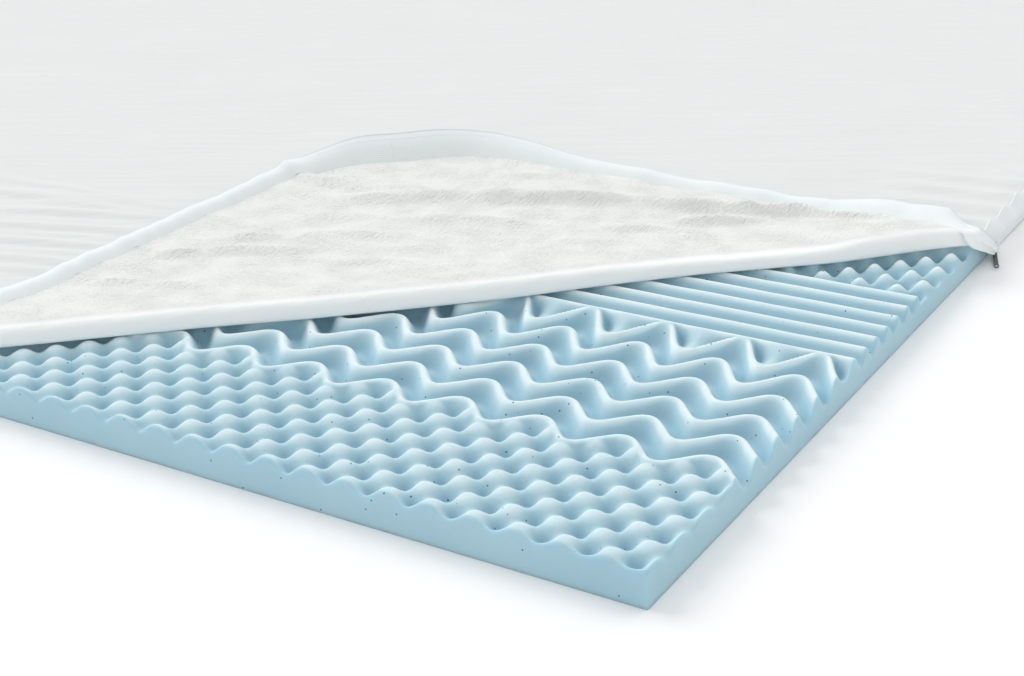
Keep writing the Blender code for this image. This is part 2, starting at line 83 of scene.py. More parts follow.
def smooth(x: Array) -> Array:
    """Even S from 0 below 0 to 1 above 1: x squared times (3 - 2x)."""
    x = np.clip(x, 0.0, 1.0)
    return x * x * (3 - 2 * x)


def soft_minimum(values: list[Array], rounding: float) -> Array:
    """The least of several arrays, rounded off where two of them are close.

    Args:
        values: arrays of one shape.
        rounding: distance over which two values count as close.

    Returns:
        Minus rounding times the logarithm of the sum of exp(-value / rounding).
    """
    stack = np.stack(np.broadcast_arrays(*values))
    least = stack.min(axis=0)
    return least - rounding * np.log(np.exp((least - stack) / rounding).sum(axis=0))


def blended(table: list[tuple[float, ...]], at: Array, column: int, reach: float) -> Array:
    """A table's column between its rows, along straight lines that are averaged over a reach.

    Args:
        table: rows that start with the place along.
        at: places to read.
        column: which value of the rows.
        reach: how far to either side of a place its average goes.

    Returns:
        Array of at's shape: the mean of evenly spaced readings, weighted as a raised cosine.
    """
    places = np.array([row[0] for row in table])
    values = np.array([row[column] for row in table])
    steps = np.linspace(-1, 1, READINGS + 2)[1:-1]
    weights = 1 + np.cos(pi * steps)
    readings = np.stack([np.interp(at + reach * step, places, values) for step in steps])
    return np.tensordot(weights / weights.sum(), readings, axes=1)


def ripple(a: Array, b: Array, size: float, seed: int) -> Array:
    """Gentle unevenness between about -1 and 1, as a sum of waves in random directions.

    Args:
        a: one coordinate, in metres.
        b: the other coordinate.
        size: the mean wavelength, in metres.
        seed: picks the directions and phases.

    Returns:
        Array of a's shape.
    """
    draw = np.random.default_rng(seed)
    total = np.zeros_like(np.asarray(a, dtype=float) + b)
    for _ in range(RIPPLE_WAVES):
        turn, phase = draw.uniform(0, 2 * pi, 2)
        wave = 2 * pi / (size * draw.uniform(*RIPPLE_SPREAD))
        total = total + np.sin(wave * (a * np.cos(turn) + b * np.sin(turn)) + phase)
    return total / (RIPPLE_WAVES / 2)


# ---- Meshes ---------------------------------------------------------------------------------


@dataclass
class SlabFrame:
    """Slab coordinates in the row frame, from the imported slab's own box."""

    low: Vector
    high: Vector

    @classmethod
    def from_frame(cls) -> "SlabFrame":
        """Reads the foam slab's box."""
        return cls(*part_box("foam_slab"))

    def to_row(self, u: Array, v: Array, z: Array) -> Array:
        """Points (..., 3) in the row frame: x = right side - u, y = front side + v, z up."""
        u, v, z = np.broadcast_arrays(u, v, z)
        return np.stack([self.high.x - u, self.low.y + v, self.low.z + z], axis=-1)

    def near_corner(self) -> Vector:
        """The bare corner's foot, in the row frame."""
        return Vector((self.high.x, self.low.y, self.low.z))


def grid_quads(rows: int, columns: int) -> Array:
    """Quads of a grid whose vertex in row r and column c has index r * columns + c.

    Args:
        rows: lines of vertices.
        columns: vertices in a line.

    Returns:
        Array (faces, 4): this column, the next, then the next row's next and this column.
    """
    r, c = np.meshgrid(np.arange(rows - 1), np.arange(columns - 1), indexing="ij")
    first = (r * columns + c).ravel()
    return np.stack([first, first + 1, first + columns + 1, first + columns], axis=1)


def number_grid(kept: Array) -> Array:
    """Vertex numbers of a grid's kept places in order, and -1 for the others.

    Args:
        kept: boolean array (rows, columns).

    Returns:
        Whole numbers in kept's shape.
    """
    number = np.full(kept.shape, -1)
    number[kept] = np.arange(kept.sum())
    return number


def cell_quads(number: Array, i: Array, j: Array) -> Array:
    """Quads of the grid's cells that start at (i, j), seen from above and turning left.

    Args:
        number: vertex numbers by grid place.
        i: first places of the cells' nearer corners.
        j: second places of them.

    Returns:
        Array (faces, 4).
    """
    corners = ((i + 1, j), (i, j), (i, j + 1), (i + 1, j + 1))
    return np.stack([number[corner] for corner in corners], axis=1)


def new_piece(name: str, points: Array, faces: list, uv: Array | None = None) -> bpy.types.Object:
    """A smooth-shaded object at the origin from points in the row frame.

    Args:
        name: the object's name.
        points: array (vertices, 3).
        faces: lists of vertex indices.
        uv: array (vertices, 2) of the surface's own coordinates, in metres.

    Returns:
        The object, linked to the scene.
    """
    mesh = bpy.data.meshes.new(name)
    mesh.from_pydata(points.tolist(), [], faces)
    mesh.shade_smooth()
    if uv is not None:
        layer = mesh.uv_layers.new(name="cloth")
        corners = np.empty(len(mesh.loops), dtype=np.int32)
        mesh.loops.foreach_get("vertex_index", corners)
        layer.data.foreach_set("uv", uv[corners].astype(np.float32).ravel())
    mesh.update()
    piece = bpy.data.objects.new(name, mesh)
    bpy.context.scene.collection.objects.link(piece)
    return piece


def add_wall(piece: bpy.types.Object, thickness: float) -> None:
    """Gives a sheet its thickness on the side that its faces look to, and keeps its rim sharp.

    Args:
        piece: the sheet.
        thickness: the cloth's, in metres.
    """
    mesh = piece.data
    edge_of_loop = np.empty(len(mesh.loops), dtype=np.int32)
    mesh.loops.foreach_get("edge_index", edge_of_loop)
    rim = np.bincount(edge_of_loop, minlength=len(mesh.edges)) == 1
    mesh.edges.foreach_set("use_edge_sharp", rim)
    wall = piece.modifiers.new("wall", "SOLIDIFY")
    wall.thickness = thickness
    wall.offset = 1.0
    wall.use_even_offset = False


def turn_outwards(piece: bpy.types.Object) -> None:
    """Recalculates a closed mesh's normals to point outwards.

    Args:
        piece: the object that has the mesh.
    """
    shell = bmesh.new()
    shell.from_mesh(piece.data)
    bmesh.ops.recalc_face_normals(shell, faces=shell.faces)
    shell.to_mesh(piece.data)
    shell.free()


# ---- Materials ------------------------------------------------------------------------------


class Coordinates(Enum):
    """The coordinates that a material reads, both in metres."""

    OBJECT = "Object"
    CLOTH = "UV"


def linear(code: str) -> tuple[float, float, float, float]:
    """An sRGB hex colour as linear red, green, blue and alpha.

    Args:
        code: the colour, such as "#9DBDC9".

    Returns:
        For a share s, s / 12.92 near black and ((s + 0.055) / 1.055) ** 2.4 above it. Alpha is 1.
    """
    shares = [int(code[k:k + 2], 16) / 255 for k in (1, 3, 5)]
    curved = [s / 12.92 if s <= 0.04045 else ((s + 0.055) / 1.055) ** 2.4 for s in shares]
    return (*curved, 1.0)


def wave_scale(spacing: float) -> float:
    """Scale at which a Wave Texture repeats at a spacing: 2 pi / (20 times the spacing)."""
    return 2 * pi / (20 * spacing)


def add_node(tree: bpy.types.NodeTree, kind: str, settings: dict | None = None,
             links: dict | None = None) -> bpy.types.Node:
    """Adds one shader node.

    Args:
        tree: the material's node tree.
        kind: the node's type name without its "ShaderNode".
        settings: values of its properties, or of its input sockets by name or number.
        links: the output socket that feeds each input socket, by name or number.

    Returns:
        The node.
    """
    node = tree.nodes.new("ShaderNode" + kind)
    for key, value in (settings or {}).items():
        if isinstance(key, str) and hasattr(node, key):
            setattr(node, key, value)
        else:
            node.inputs[key].default_value = value
    for key, output in (links or {}).items():
        tree.links.new(output, node.inputs[key])
    return node


def set_stops(ramp: bpy.types.Node, stops: list[tuple[float, str]]) -> None:
    """Gives a Color Ramp its stops.

    Args:
        ramp: the node.
        stops: each stop's position and hex colour, in order.
    """
    elements = ramp.color_ramp.elements
    while len(elements) < len(stops):
        elements.new(1.0)
    for element, (position, colour) in zip(elements, stops):
        element.position, element.color = position, linear(colour)


class Finish:
    """A material under construction: its tree, its shader and the coordinates it reads."""

    def __init__(self, name: str, roughness: float, specular: float = 0.5) -> None:
        """Makes an empty material with a Principled shader.

        Args:
            name: the material's name.
            roughness: the shader's roughness.
            specular: the shader's specular level.
        """
        self.material = bpy.data.materials.new(name)
        self.material.use_nodes = True
        self.tree = self.material.node_tree
        self.shader = self.tree.nodes["Principled BSDF"]
        self.set_socket("Roughness", roughness)
        self.set_socket("Specular IOR Level", specular)

    def set_socket(self, name: str, value: float | tuple[float, ...]) -> None:
        """Sets a value that is the same all over the surface on the shader's own socket."""
        self.shader.inputs[name].default_value = value

    def node(self, kind: str, settings: dict | None = None,
             links: dict | None = None) -> bpy.types.Node:
        """Adds a node to the tree."""
        return add_node(self.tree, kind, settings, links)

    def coordinates(self, kind: Coordinates) -> bpy.types.NodeSocket:
        """The coordinates of this kind."""
        return self.node("TexCoord").outputs[kind.value]

    def join(self, colour: bpy.types.NodeSocket | None, height: bpy.types.NodeSocket | None,
             distance: float = 0.0) -> bpy.types.Material:
        """Feeds the shader.

        Args:
            colour: base colour, or None to leave the socket as it is.
            height: bump height from 0 to 1, or None.
            distance: the bump's real height, in metres.

        Returns:
            The finished material.
        """
        if colour is not None:
            self.tree.links.new(colour, self.shader.inputs["Base Color"])
        if height is not None:
            bump = self.node("Bump", {"Distance": distance, "Strength": 1.0}, {"Height": height})
            self.tree.links.new(bump.outputs[0], self.shader.inputs["Normal"])
        return self.material


@dataclass(frozen=True)
class GelFoam:
    """Gel memory foam, contour cut, with open cells. Its colour has painted light and shade: paler
    on the crests, bluer in the pits.

    Light scatters a little way into the open cells, which softens every edge of the relief.
    """

    # Stops of painted light and shade: crests painted paler as if lit, slopes and pits bluer as if
    # shaded.
    crest: str = "#EAF4F7"
    slope: str = "#C2DCE4"
    pit: str = "#A6CADB"
    painted_crest_light_tone: float = 0.08        # painted light: tone up to which the foam has the crests' paler colour
    painted_slope_shade_tone: float = 0.42
    wash: str = "#EAF3F6"           # multiplies the colour in slow clouds
    clouds: float = 9.0             # of the wash, a metre
    cell: float = 0.0014            # open cells, drawn coarser than the real 0.5 mm
    cell_depth: float = 0.00025
    speck: str = "#4A6E90"
    speck_spacing: float = 0.011    # between the places that may hold a gel speck
    speck_radius: float = 0.0006
    speck_blur: float = 1.6         # radii at which a speck has faded away
    speck_limit: float = 0.40       # of a place's random number, above which it holds a speck
    scatter: float = 0.6
    scatter_reach: float = 0.008
    scatter_colours: tuple[float, float, float] = (0.4, 0.8, 1.0)

    def make(self) -> bpy.types.Material:
        """Builds the material. The mesh's tone, which is painted light and shade, sets the colour
        between the stops.

        Returns:
            The material.
        """
        foam = Finish("contour_cut_gel_foam", roughness=0.95, specular=0.1)
        place = foam.coordinates(Coordinates.OBJECT)
        # The tone attribute is painted light and shade: low on the crests, high in hollows, deep
        # places and on the cut sides.
        tone = foam.node("Attribute", {"attribute_name": "tone"})
        drift = foam.node("TexNoise", {"Scale": self.clouds, "Detail": 2.0}, {"Vector": place})
        ramp = foam.node("ValToRGB", links={0: tone.outputs["Fac"]})
        set_stops(ramp, [(self.painted_crest_light_tone, self.crest), (self.painted_slope_shade_tone, self.slope),
                         (1.0, self.pit)])
        tinted = foam.node("MixRGB", {"blend_type": "MULTIPLY", "Color2": linear(self.wash)},
                           {"Fac": drift.outputs[0], "Color1": ramp.outputs[0]})
        cells = foam.node("TexVoronoi", {"Scale": 1 / self.speck_spacing}, {"Vector": place})
        radius = self.speck_radius / self.speck_spacing
        near = foam.node("MapRange", {1: radius, 2: self.speck_blur * radius, 3: 1.0, 4: 0.0},
                         {"Value": cells.outputs["Distance"]})
        some = foam.node("SeparateColor", links={0: cells.outputs["Color"]})
        chosen = foam.node("Math", {"operation": "GREATER_THAN", 1: self.speck_limit},
                           {0: some.outputs[0]})
        strength = foam.node("Math", {"operation": "MULTIPLY"},
                             {0: near.outputs[0], 1: chosen.outputs[0]})
        specked = foam.node("MixRGB", {"Color2": linear(self.speck)},
                            {"Fac": strength.outputs[0], "Color1": tinted.outputs[0]})
        pores = foam.node("TexNoise", {"Scale": 1 / self.cell, "Detail": 3.0}, {"Vector": place})
        foam.set_socket("Subsurface Weight", self.scatter)
        foam.set_socket("Subsurface Radius", self.scatter_colours)
        foam.set_socket("Subsurface Scale", self.scatter_reach)
        return foam.join(specked.outputs[0], pores.outputs[0], self.cell_depth)


@dataclass(frozen=True)
class PanelKnit:
    """White polyester weft knit. Its outer face is brushed smooth, and its inner face is ribbed.

    The outer face shows faint streaks along the fold and a fine pile. The inner face, which the
    flap shows, has slanting ribs that wander. Distances from the fold are counted on the cloth as
    u + v, which falls from FOLD_LEG over the roll and on over the flap.
    """

    outer: str = "#E3E6E5"
    shade: str = "#DDE0DF"          # of the outer face's clouds
    clouds: float = 7.0             # a metre
    inner: str = "#F3F4F2"
    inner_from: float = 0.065       # past the fold, where the inner face is fully seen
    outer_until: float = 0.030
    fold: str = "#FAFCFB"           # painted light: the roll is drawn whiter than the cloth, as if lit from the front
    roll_light_middle: float = 0.022
    roll_light_half: float = 0.016
    roll_light_fade: float = 0.030
    rib: float = 0.0030             # rib spacing, coarser than the real 1.5 mm so that it shows
    rib_height: float = 0.0050
    rib_turn: float = 78.0          # of the ribs in the cloth, in degrees
    rib_length: float = 2.4         # of a rib's ripple, for its width
    rib_patches: float = 26.0       # a metre, over which the ribs show more and less
    rib_least: float = 0.6          # share of their height that is left where they show least
    patch_range: tuple[float, float] = (0.35, 0.65)
    pile: float = 420.0             # tufts a metre, coarser than the real so that they show
    pile_share: float = 0.12        # of the pile's height in the streaks'
    streak: float = 0.012           # spacing of the outer face's streaks
    streak_turn: float = 150.0
    streak_length: float = 10.0
    outer_share: float = 0.30       # of the ribs' height that the outer face has
    sheen: float = 0.2
    sheen_roughness: float = 0.5

    def make(self) -> bpy.types.Material:
        """Builds the material over the cloth's own coordinates.

        Returns:
            The material.
        """
        knit = Finish("brushed_weft_knit", roughness=0.85, specular=0.2)
        place = knit.coordinates(Coordinates.CLOTH)
        split = knit.node("SeparateXYZ", links={0: place})
        sum_uv = knit.node("Math", {"operation": "ADD"}, {0: split.outputs[0], 1: split.outputs[1]})
        flap = knit.node("MapRange", {1: FOLD_LEG - self.inner_from, 2: FOLD_LEG - self.outer_until,
                                      3: 1.0, 4: 0.0}, {"Value": sum_uv.outputs[0]})
        height = knit.node("Mix", {"data_type": "FLOAT"},
                           {0: flap.outputs[0], 2: self.outer_height(knit, place),
                            3: self.inner_height(knit, place)})
        cloud = knit.node("TexNoise", {"Scale": self.clouds, "Detail": 3.0}, {"Vector": place})
        outer = knit.node("MixRGB", {"Color1": linear(self.shade), "Color2": linear(self.outer)},
                          {"Fac": cloud.outputs[0]})
        both = knit.node("MixRGB", {"Color2": linear(self.inner)},
                         {"Fac": flap.outputs[0], "Color1": outer.outputs[0]})
        # Painted light: the fold colour whitens the roll around its middle.
        from_fold = knit.node("Math", {"operation": "SUBTRACT", 1: FOLD_LEG - self.roll_light_middle},
                              {0: sum_uv.outputs[0]})
        beside = knit.node("Math", {"operation": "ABSOLUTE"}, {0: from_fold.outputs[0]})
        painted_roll_light = knit.node("MapRange", {1: self.roll_light_half, 2: self.roll_light_fade, 3: 1.0, 4: 0.0},
                           {"Value": beside.outputs[0]})
        colour = knit.node("MixRGB", {"Color2": linear(self.fold)},
                           {"Fac": painted_roll_light.outputs[0], "Color1": both.outputs[0]})
        knit.set_socket("Sheen Weight", self.sheen)
        knit.set_socket("Sheen Roughness", self.sheen_roughness)
        return knit.join(colour.outputs[0], height.outputs[0], self.rib_height)

    def inner_height(self, knit: Finish, place: bpy.types.NodeSocket) -> bpy.types.NodeSocket:
        """Height of the inner face: a noise drawn out into ribs, weaker in some patches.

        Args:
            knit: the material under construction.
            place: the cloth's own coordinates.

        Returns:
            The socket that gives the height, from 0 to 1.
        """
        turned = knit.node("Mapping", {"vector_type": "TEXTURE",
                                       "Rotation": (0, 0, radians(self.rib_turn)),
                                       "Scale": (1.0, self.rib_length, 1.0)}, {"Vector": place})
        ribs = knit.node("TexNoise", {"Scale": 1 / self.rib, "Detail": 3.0, "Roughness": 0.6},
                         {"Vector": turned.outputs[0]})
        patches = knit.node("TexNoise", {"Scale": self.rib_patches, "Detail": 1.0},
                            {"Vector": place})
        low, high = self.patch_range
        amount = knit.node("MapRange", {1: low, 2: high, 3: self.rib_least, 4: 1.0},
                           {"Value": patches.outputs[0]})
        inner = knit.node("Math", {"operation": "MULTIPLY"},
                          {0: ribs.outputs[0], 1: amount.outputs[0]})
        return inner.outputs[0]

    def outer_height(self, knit: Finish, place: bpy.types.NodeSocket) -> bpy.types.NodeSocket:
        """Height of the outer face: streaks that are drawn out along the fold, and a fine pile.

        Args:
            knit: the material under construction.
            place: the cloth's own coordinates.

        Returns:
            The socket that gives the height, as a share of the ribs' height.
        """
        pile = knit.node("TexNoise", {"Scale": self.pile, "Detail": 3.0}, {"Vector": place})
        laid = knit.node("Mapping", {"vector_type": "TEXTURE",
                                     "Rotation": (0, 0, radians(self.streak_turn)),
                                     "Scale": (self.streak_length, 1.0, 1.0)}, {"Vector": place})
        streaks = knit.node("TexNoise", {"Scale": 1 / self.streak, "Detail": 3.0},
                            {"Vector": laid.outputs[0]})
        mixed = knit.node("Math", {"operation": "MULTIPLY_ADD", 1: self.pile_share},
                          {0: pile.outputs[0], 2: streaks.outputs[0]})
        outer = knit.node("Math", {"operation": "MULTIPLY", 1: self.outer_share},
                          {0: mixed.outputs[0]})
        return outer.outputs[0]


@dataclass(frozen=True)
class BandKnit:
    """Thin white warp knit, smooth and matt, with a faint fine rib along the band."""

    colour: str = "#F3F8F8"
    shade: str = "#EAF1F1"
    clouds: float = 14.0            # of the shade, a metre
    rib: float = 0.0025             # coarser than the real 1 mm so that it shows
    rib_height: float = 0.00008
    sheen: float = 0.2

    def make(self) -> bpy.types.Material:
        """Builds the material over the band's own coordinates.

        Returns:
            The material.
        """
        knit = Finish("plain_warp_knit", roughness=0.8, specular=0.2)
        place = knit.coordinates(Coordinates.CLOTH)
        cloud = knit.node("TexNoise", {"Scale": self.clouds, "Detail": 2.0}, {"Vector": place})
        ribs = knit.node("TexWave", {"bands_direction": "Y", "Scale": wave_scale(self.rib),
                                     "Distortion": 1.0, "Detail Scale": 1.0}, {"Vector": place})
        colour = knit.node("MixRGB", {"Color1": linear(self.shade), "Color2": linear(self.colour)},
                           {"Fac": cloud.outputs[0]})
        knit.set_socket("Sheen Weight", self.sheen)
        return knit.join(colour.outputs[0], ribs.outputs[1], self.rib_height)


@dataclass(frozen=True)
class ZipTape:
    """Woven polyester zip tape, smooth and slightly shiny, with a moulded white nylon coil."""

    colour: str = "#EFF4F6"
    coil: str = "#C9D4D9"
    coil_start: float = 0.0362      # from the band's seam, beyond which the coil is sewn on
    coil_edge: float = 0.0008       # width over which it rises
    coil_height: float = 0.0003
    tooth: float = 0.0030           # coil pitch, coarser than the real 1.3 mm so that it shows

    def make(self) -> bpy.types.Material:
        """Builds the material, with the coil's turns as waves along the tape.

        Returns:
            The material.
        """
        tape = Finish("woven_polyester_tape", roughness=0.7, specular=0.35)
        place = tape.coordinates(Coordinates.CLOTH)
        turns = tape.node("TexWave", {"Scale": wave_scale(self.tooth), "Distortion": 0.0},
                          {"Vector": place})
        split = tape.node("SeparateXYZ", links={0: place})
        sewn = tape.node("MapRange", {1: self.coil_start, 2: self.coil_start + self.coil_edge},
                         {"Value": split.outputs[1]})
        amount = tape.node("Math", {"operation": "MULTIPLY"},
                           {0: sewn.outputs[0], 1: turns.outputs[1]})
        colour = tape.node("MixRGB", {"Color1": linear(self.colour), "Color2": linear(self.coil)},
                           {"Fac": amount.outputs[0]})
        return tape.join(colour.outputs[0], amount.outputs[0], self.coil_height)


@dataclass(frozen=True)
class CoatedZinc:
    """Die-cast zinc, enamelled or lacquered, with the fine unevenness of its coat."""

    name: str
    colour: str
    roughness: float
    grain: float = 1500.0           # a metre
    grain_height: float = 0.00005

    def make(self) -> bpy.types.Material:
        """Builds the material.

        Returns:
            The material.
        """
        zinc = Finish(self.name, roughness=self.roughness)
        zinc.set_socket("Base Color", linear(self.colour))
        coat = zinc.node("TexNoise", {"Scale": self.grain},
                         {"Vector": zinc.coordinates(Coordinates.OBJECT)})
        return zinc.join(None, coat.outputs[0], self.grain_height)


# ---- Foam slab ------------------------------------------------------------------------------


@dataclass
class FoamSlab:
    """The slab, its top cut in four zones: bumps, chevrons, straight ridges and peaks.

    Columns and rows count half pitches of the bump lattice, across the bed and along it. The rows
    go from the bumps at the front to the peaks.
    """

    slab: SlabFrame
    column_step: float = 0.0384 / 2
    row_step: float = 0.0431 / 2
    first_column: float = 0.19
    first_row: float = -0.51
    column_skew: float = 0.009      # the lattice is cut a little askew to the slab's sides
    row_skew: float = 0.022
    reach: float = FOLD_LEG + 0.016     # the relief ends at this u + v, out of sight
    fade: float = 0.030
    crest_rounding: float = 0.0015  # where bumps meet the first chevron
    # Bumps
    bump_depth: float = 0.0150
    bump_fullness: float = 1.5      # broad crests and narrow pits
    rim_share: float = 0.60         # of the bumps' depth that is left at the cut sides
    rim_width: float = 0.012
    # Chevrons
    chevron_columns: float = 4.0    # from one forward point to the next
    chevron_depth: float = 0.0165
    chevron_sharpness: float = 1.35
    chevron_start: float = 6.5
    chevron_spacing: float = 1.94
    last_chevron: int = 5
    forward_rounding: float = 0.6   # columns over which a chevron turns at its forward points
    backward_rounding: float = 0.7
    first_reach: float = 1.35       # rows from forward to backward points in the first chevron
    last_reach: float = 2.40        # and in the last one
    reach_growth: int = 4           # power of the count by which the reach grows
    front_phase: float = -0.5       # of the pit in front of the first chevron
    solving_steps: int = 12
    # Eyes between the last chevron and the first straight ridge
    eye_saddle: float = 0.45        # share of the depth that is left at the forward points
    eye_room: float = 1.6           # rows between them where an eye is cut in full
    least_room: float = 0.01
    # Straight ridges
    ridge_depth: float = 0.0130
    ridge_sharpness: float = 1.6
    ridge_start: float = 18.7
    ridge_spacing: float = 1.3
    ridge_count: int = 6
    # Peaks
    peak_depth: float = 0.0195
    peak_fullness: float = 1.05     # pointed
    peak_row_shift: float = 0.5
    # Unevenness of the cut
    uneven_height: float = 0.0004
    uneven_size: float = 0.07
    uneven_from: float = 0.004      # drop below which it fades, so that crests stay level
    # Mesh
    line_step: float = 0.0023
    edge_rounding: float = 0.0030
    edge_lines: int = 5
    wall_rows: int = 8
    # Tone: painted light and shade, paler on convex crests and bluer in hollows, deep places and on
    # the cut sides
    look_round: float = 0.0055
    look_places: int = 8
    middle_painted_shade: float = 0.40
    hollow_for_painted_shade: float = 0.0075     # drop below the surroundings that adds a whole tone of painted shade
    drop_for_painted_shade: float = 0.060        # drop that adds a whole tone of painted shade
    cut_side_painted_shade: float = 0.70              # painted shade of the plain cut sides
    cut_shade_blend: float = 0.004

    def forward_distance(self, column: Array) -> Array:
        """Columns to the chevrons' nearest forward point."""
        turn = np.mod(column / self.chevron_columns, 1.0)
        return self.chevron_columns * np.minimum(turn, 1 - turn)

    def zigzag(self, column: Array) -> Array:
        """How far back a chevron lies: 0 at its forward points, 1 at its backward ones.

        Straight legs whose slope grows evenly over the forward rounding and fades evenly over
        the backward one, so each corner is a piece of a parabola.

        Args:
            column: place across the bed.

        Returns:
            Array of column's shape, from 0 to 1.
        """
        ahead, behind = self.forward_rounding, self.backward_rounding
        leg = self.chevron_columns / 2
        distance = self.forward_distance(column)
        climb = np.minimum(distance, ahead) ** 2 / (2 * ahead) + np.maximum(distance - ahead, 0)
        climb = climb - np.maximum(distance - (leg - behind), 0) ** 2 / (2 * behind)
        return climb / (leg - (ahead + behind) / 2)

    def chevron_row(self, column: Array, count: Array) -> Array:
        """Row of a chevron's crest: its start, plus its reach times the zigzag of the column.

        Args:
            column: place across the bed.
            count: which chevron, from 0, with a fraction between two of them.

        Returns:
            Array of column's shape.
        """
        growth = np.maximum(count / self.last_chevron, 0.0) ** self.reach_growth
        reach = self.first_reach + (self.last_reach - self.first_reach) * growth
        start = self.chevron_start + self.chevron_spacing * count
        return start + reach * self.zigzag(column)

    def chevron_count(self, column: Array, row: Array) -> Array:
        """The chevron count, with its fraction, whose crest would pass through each point.

        Args:
            column: place across the bed.
            row: place along the bed.

        Returns:
            The count that chevron_row takes to the row, found step by step.
        """
        count = np.zeros_like(row)
        for _ in range(1 + self.solving_steps):
            count = count + (row - self.chevron_row(column, count)) / self.chevron_spacing
        return count

    def bump_drop(self, column: Array, row: Array, depth: Array | float, fullness: float) -> Array:
        """Egg crate: depth times ((1 - cos(pi column) cos(pi row)) / 2) ** fullness."""
        return depth * ((1 - np.cos(pi * column) * np.cos(pi * row)) / 2) ** fullness

    def ridge_drop(self, phase: Array, depth: Array | float, sharpness: float) -> Array:
        """Narrow crests at whole phases: depth times 1 - (raised cosine) ** sharpness."""
        return depth * (1 - ((1 + np.cos(2 * pi * phase)) / 2) ** sharpness)

    def far_drop(self, column: Array, row: Array) -> Array:
        """Drop of the straight ridges, which pass into the peaks behind the last one.

        Args:
            column: place across the bed.
            row: place along the bed.

        Returns:
            The drop below the crests.
        """
        phase = (row - self.ridge_start) / self.ridge_spacing
        ridges = self.ridge_drop(phase, self.ridge_depth, self.ridge_sharpness)
        peaks = self.bump_drop(column, row + self.peak_row_shift, self.peak_depth,
                               self.peak_fullness)
        return ridges + (peaks - ridges) * smooth(phase - self.ridge_count)

    def eye_drop(self, column: Array, row: Array, last_row: Array) -> Array:
        """Drop between the last chevron and the first straight ridge, one hollow in each bay.

        Args:
            column: place across the bed.
            row: place along the bed.
            last_row: the last chevron's crest at the column.

        Returns:
            The drop below the crests.
        """
        room = np.maximum(self.ridge_start - last_row, self.least_room)
        beside = smooth(self.forward_distance(column))
        saddle = self.eye_saddle + (1 - self.eye_saddle) * beside
        depth = self.chevron_depth * smooth(room / self.eye_room) * saddle
        return self.ridge_drop(np.clip((row - last_row) / room, 0, 1), depth,
                               self.chevron_sharpness)

    def near_drop(self, u: Array, v: Array, column: Array, row: Array) -> Array:
        """Drop of the bumps and the chevrons.

        In front of the first chevron it is the lesser of the bumps' drop and the chevron's, and
        behind it the chevrons' alone. The bumps are shallower beside the cut sides.

        Args:
            u: distance from the right side.
            v: distance from the front side.
            column: place across the bed.
            row: place along the bed.

        Returns:
            The drop below the crests.
        """
        inside = smooth(np.minimum(u, v) / self.rim_width)
        bump_depth = self.bump_depth * (self.rim_share + (1 - self.rim_share) * inside)
        bumps = self.bump_drop(column, row, bump_depth, self.bump_fullness)
        count = self.chevron_count(column, row)
        chevrons = self.ridge_drop(np.maximum(count, self.front_phase), self.chevron_depth,
                                   self.chevron_sharpness)
        to_crest = soft_minimum([bumps, chevrons], self.crest_rounding)
        return np.where(count < 0, to_crest, chevrons)

    def drop(self, u: Array, v: Array) -> Array:
        """How far the slab's top lies below its crests.

        Args:
            u: distance from the right side.
            v: distance from the front side.

        Returns:
            The zones' own drops side by side, made slightly uneven, which fade out at the reach.
        """
        column = self.first_column + (u + self.column_skew * v) / self.column_step
        row = self.first_row + (v + self.row_skew * u) / self.row_step
        last_row = self.chevron_row(column, np.full_like(row, self.last_chevron))
        shape = np.where(row >= self.ridge_start, self.far_drop(column, row),
                         np.where(row >= last_row, self.eye_drop(column, row, last_row),
                                  self.near_drop(u, v, column, row)))
        uneven = self.uneven_height * ripple(u, v, self.uneven_size, seed=3)
        shape = shape + uneven * np.minimum(shape / self.uneven_from, 1)
        return np.maximum(shape, 0) * smooth((self.reach - u - v) / self.fade)

    def tone(self, u: Array, v: Array) -> Array:
        """Painted light and shade on the foam, from 0 (paler, as if lit) on the crests to 1 (bluer,
        as if shaded) in the pits.

        The middle tone, plus a share of the drop less its mean at places around, plus a share of
        the drop itself.

        Args:
            u: distance from the right side.
            v: distance from the front side.

        Returns:
            Array of u's shape, from 0 to 1.
        """
        here = self.drop(u, v)
        turns = 2 * pi * np.arange(self.look_places) / self.look_places
        around = sum(self.drop(u + self.look_round * np.cos(t), v + self.look_round * np.sin(t))
                     for t in turns) / self.look_places
        return np.clip(self.middle_painted_shade + (here - around) / self.hollow_for_painted_shade
                       + here / self.drop_for_painted_shade, 0, 1)

    def lines(self) -> Array:
        """Mesh lines from a cut side inwards: close together over the rounded edge, then even.

        Returns:
            Distances from the side, the first 0 and the last the reach.
        """
        edge = self.edge_rounding * (1 - np.cos(np.linspace(0, pi / 2, self.edge_lines)))
        count = round((self.reach - edge[-1]) / self.line_step)
        return np.concatenate([edge, np.linspace(edge[-1], self.reach, count + 1)[1:]])

    def rounded(self, u: Array, v: Array, z: Array) -> tuple[Array, Array, Array]:
        """Rounds the top off over its cut edges, and draws the corner in to a round one.

        Within a radius of a side the height falls by the radius times 1 - sqrt(1 - (1 - share)
        squared), where the share is the distance from the side over the radius. In the corner's
        square, lines of equal distance become quarter circles.

        Args:
            u: distance from the right side.
            v: distance from the front side.
            z: height.

        Returns:
            The same three, rounded.
        """
        radius = self.edge_rounding
        for inset in (u, v):
            share = np.clip(inset / radius, 0, 1)
            z = z - radius * (1 - np.sqrt(1 - (1 - share) ** 2))
        a, b = np.maximum(radius - u, 0), np.maximum(radius - v, 0)
        circle = np.maximum(a, b) / np.maximum(np.hypot(a, b), TINY)
        pull = np.where((a > 0) & (b > 0), circle, 1.0)
        return u + a * (1 - pull), v + b * (1 - pull), z

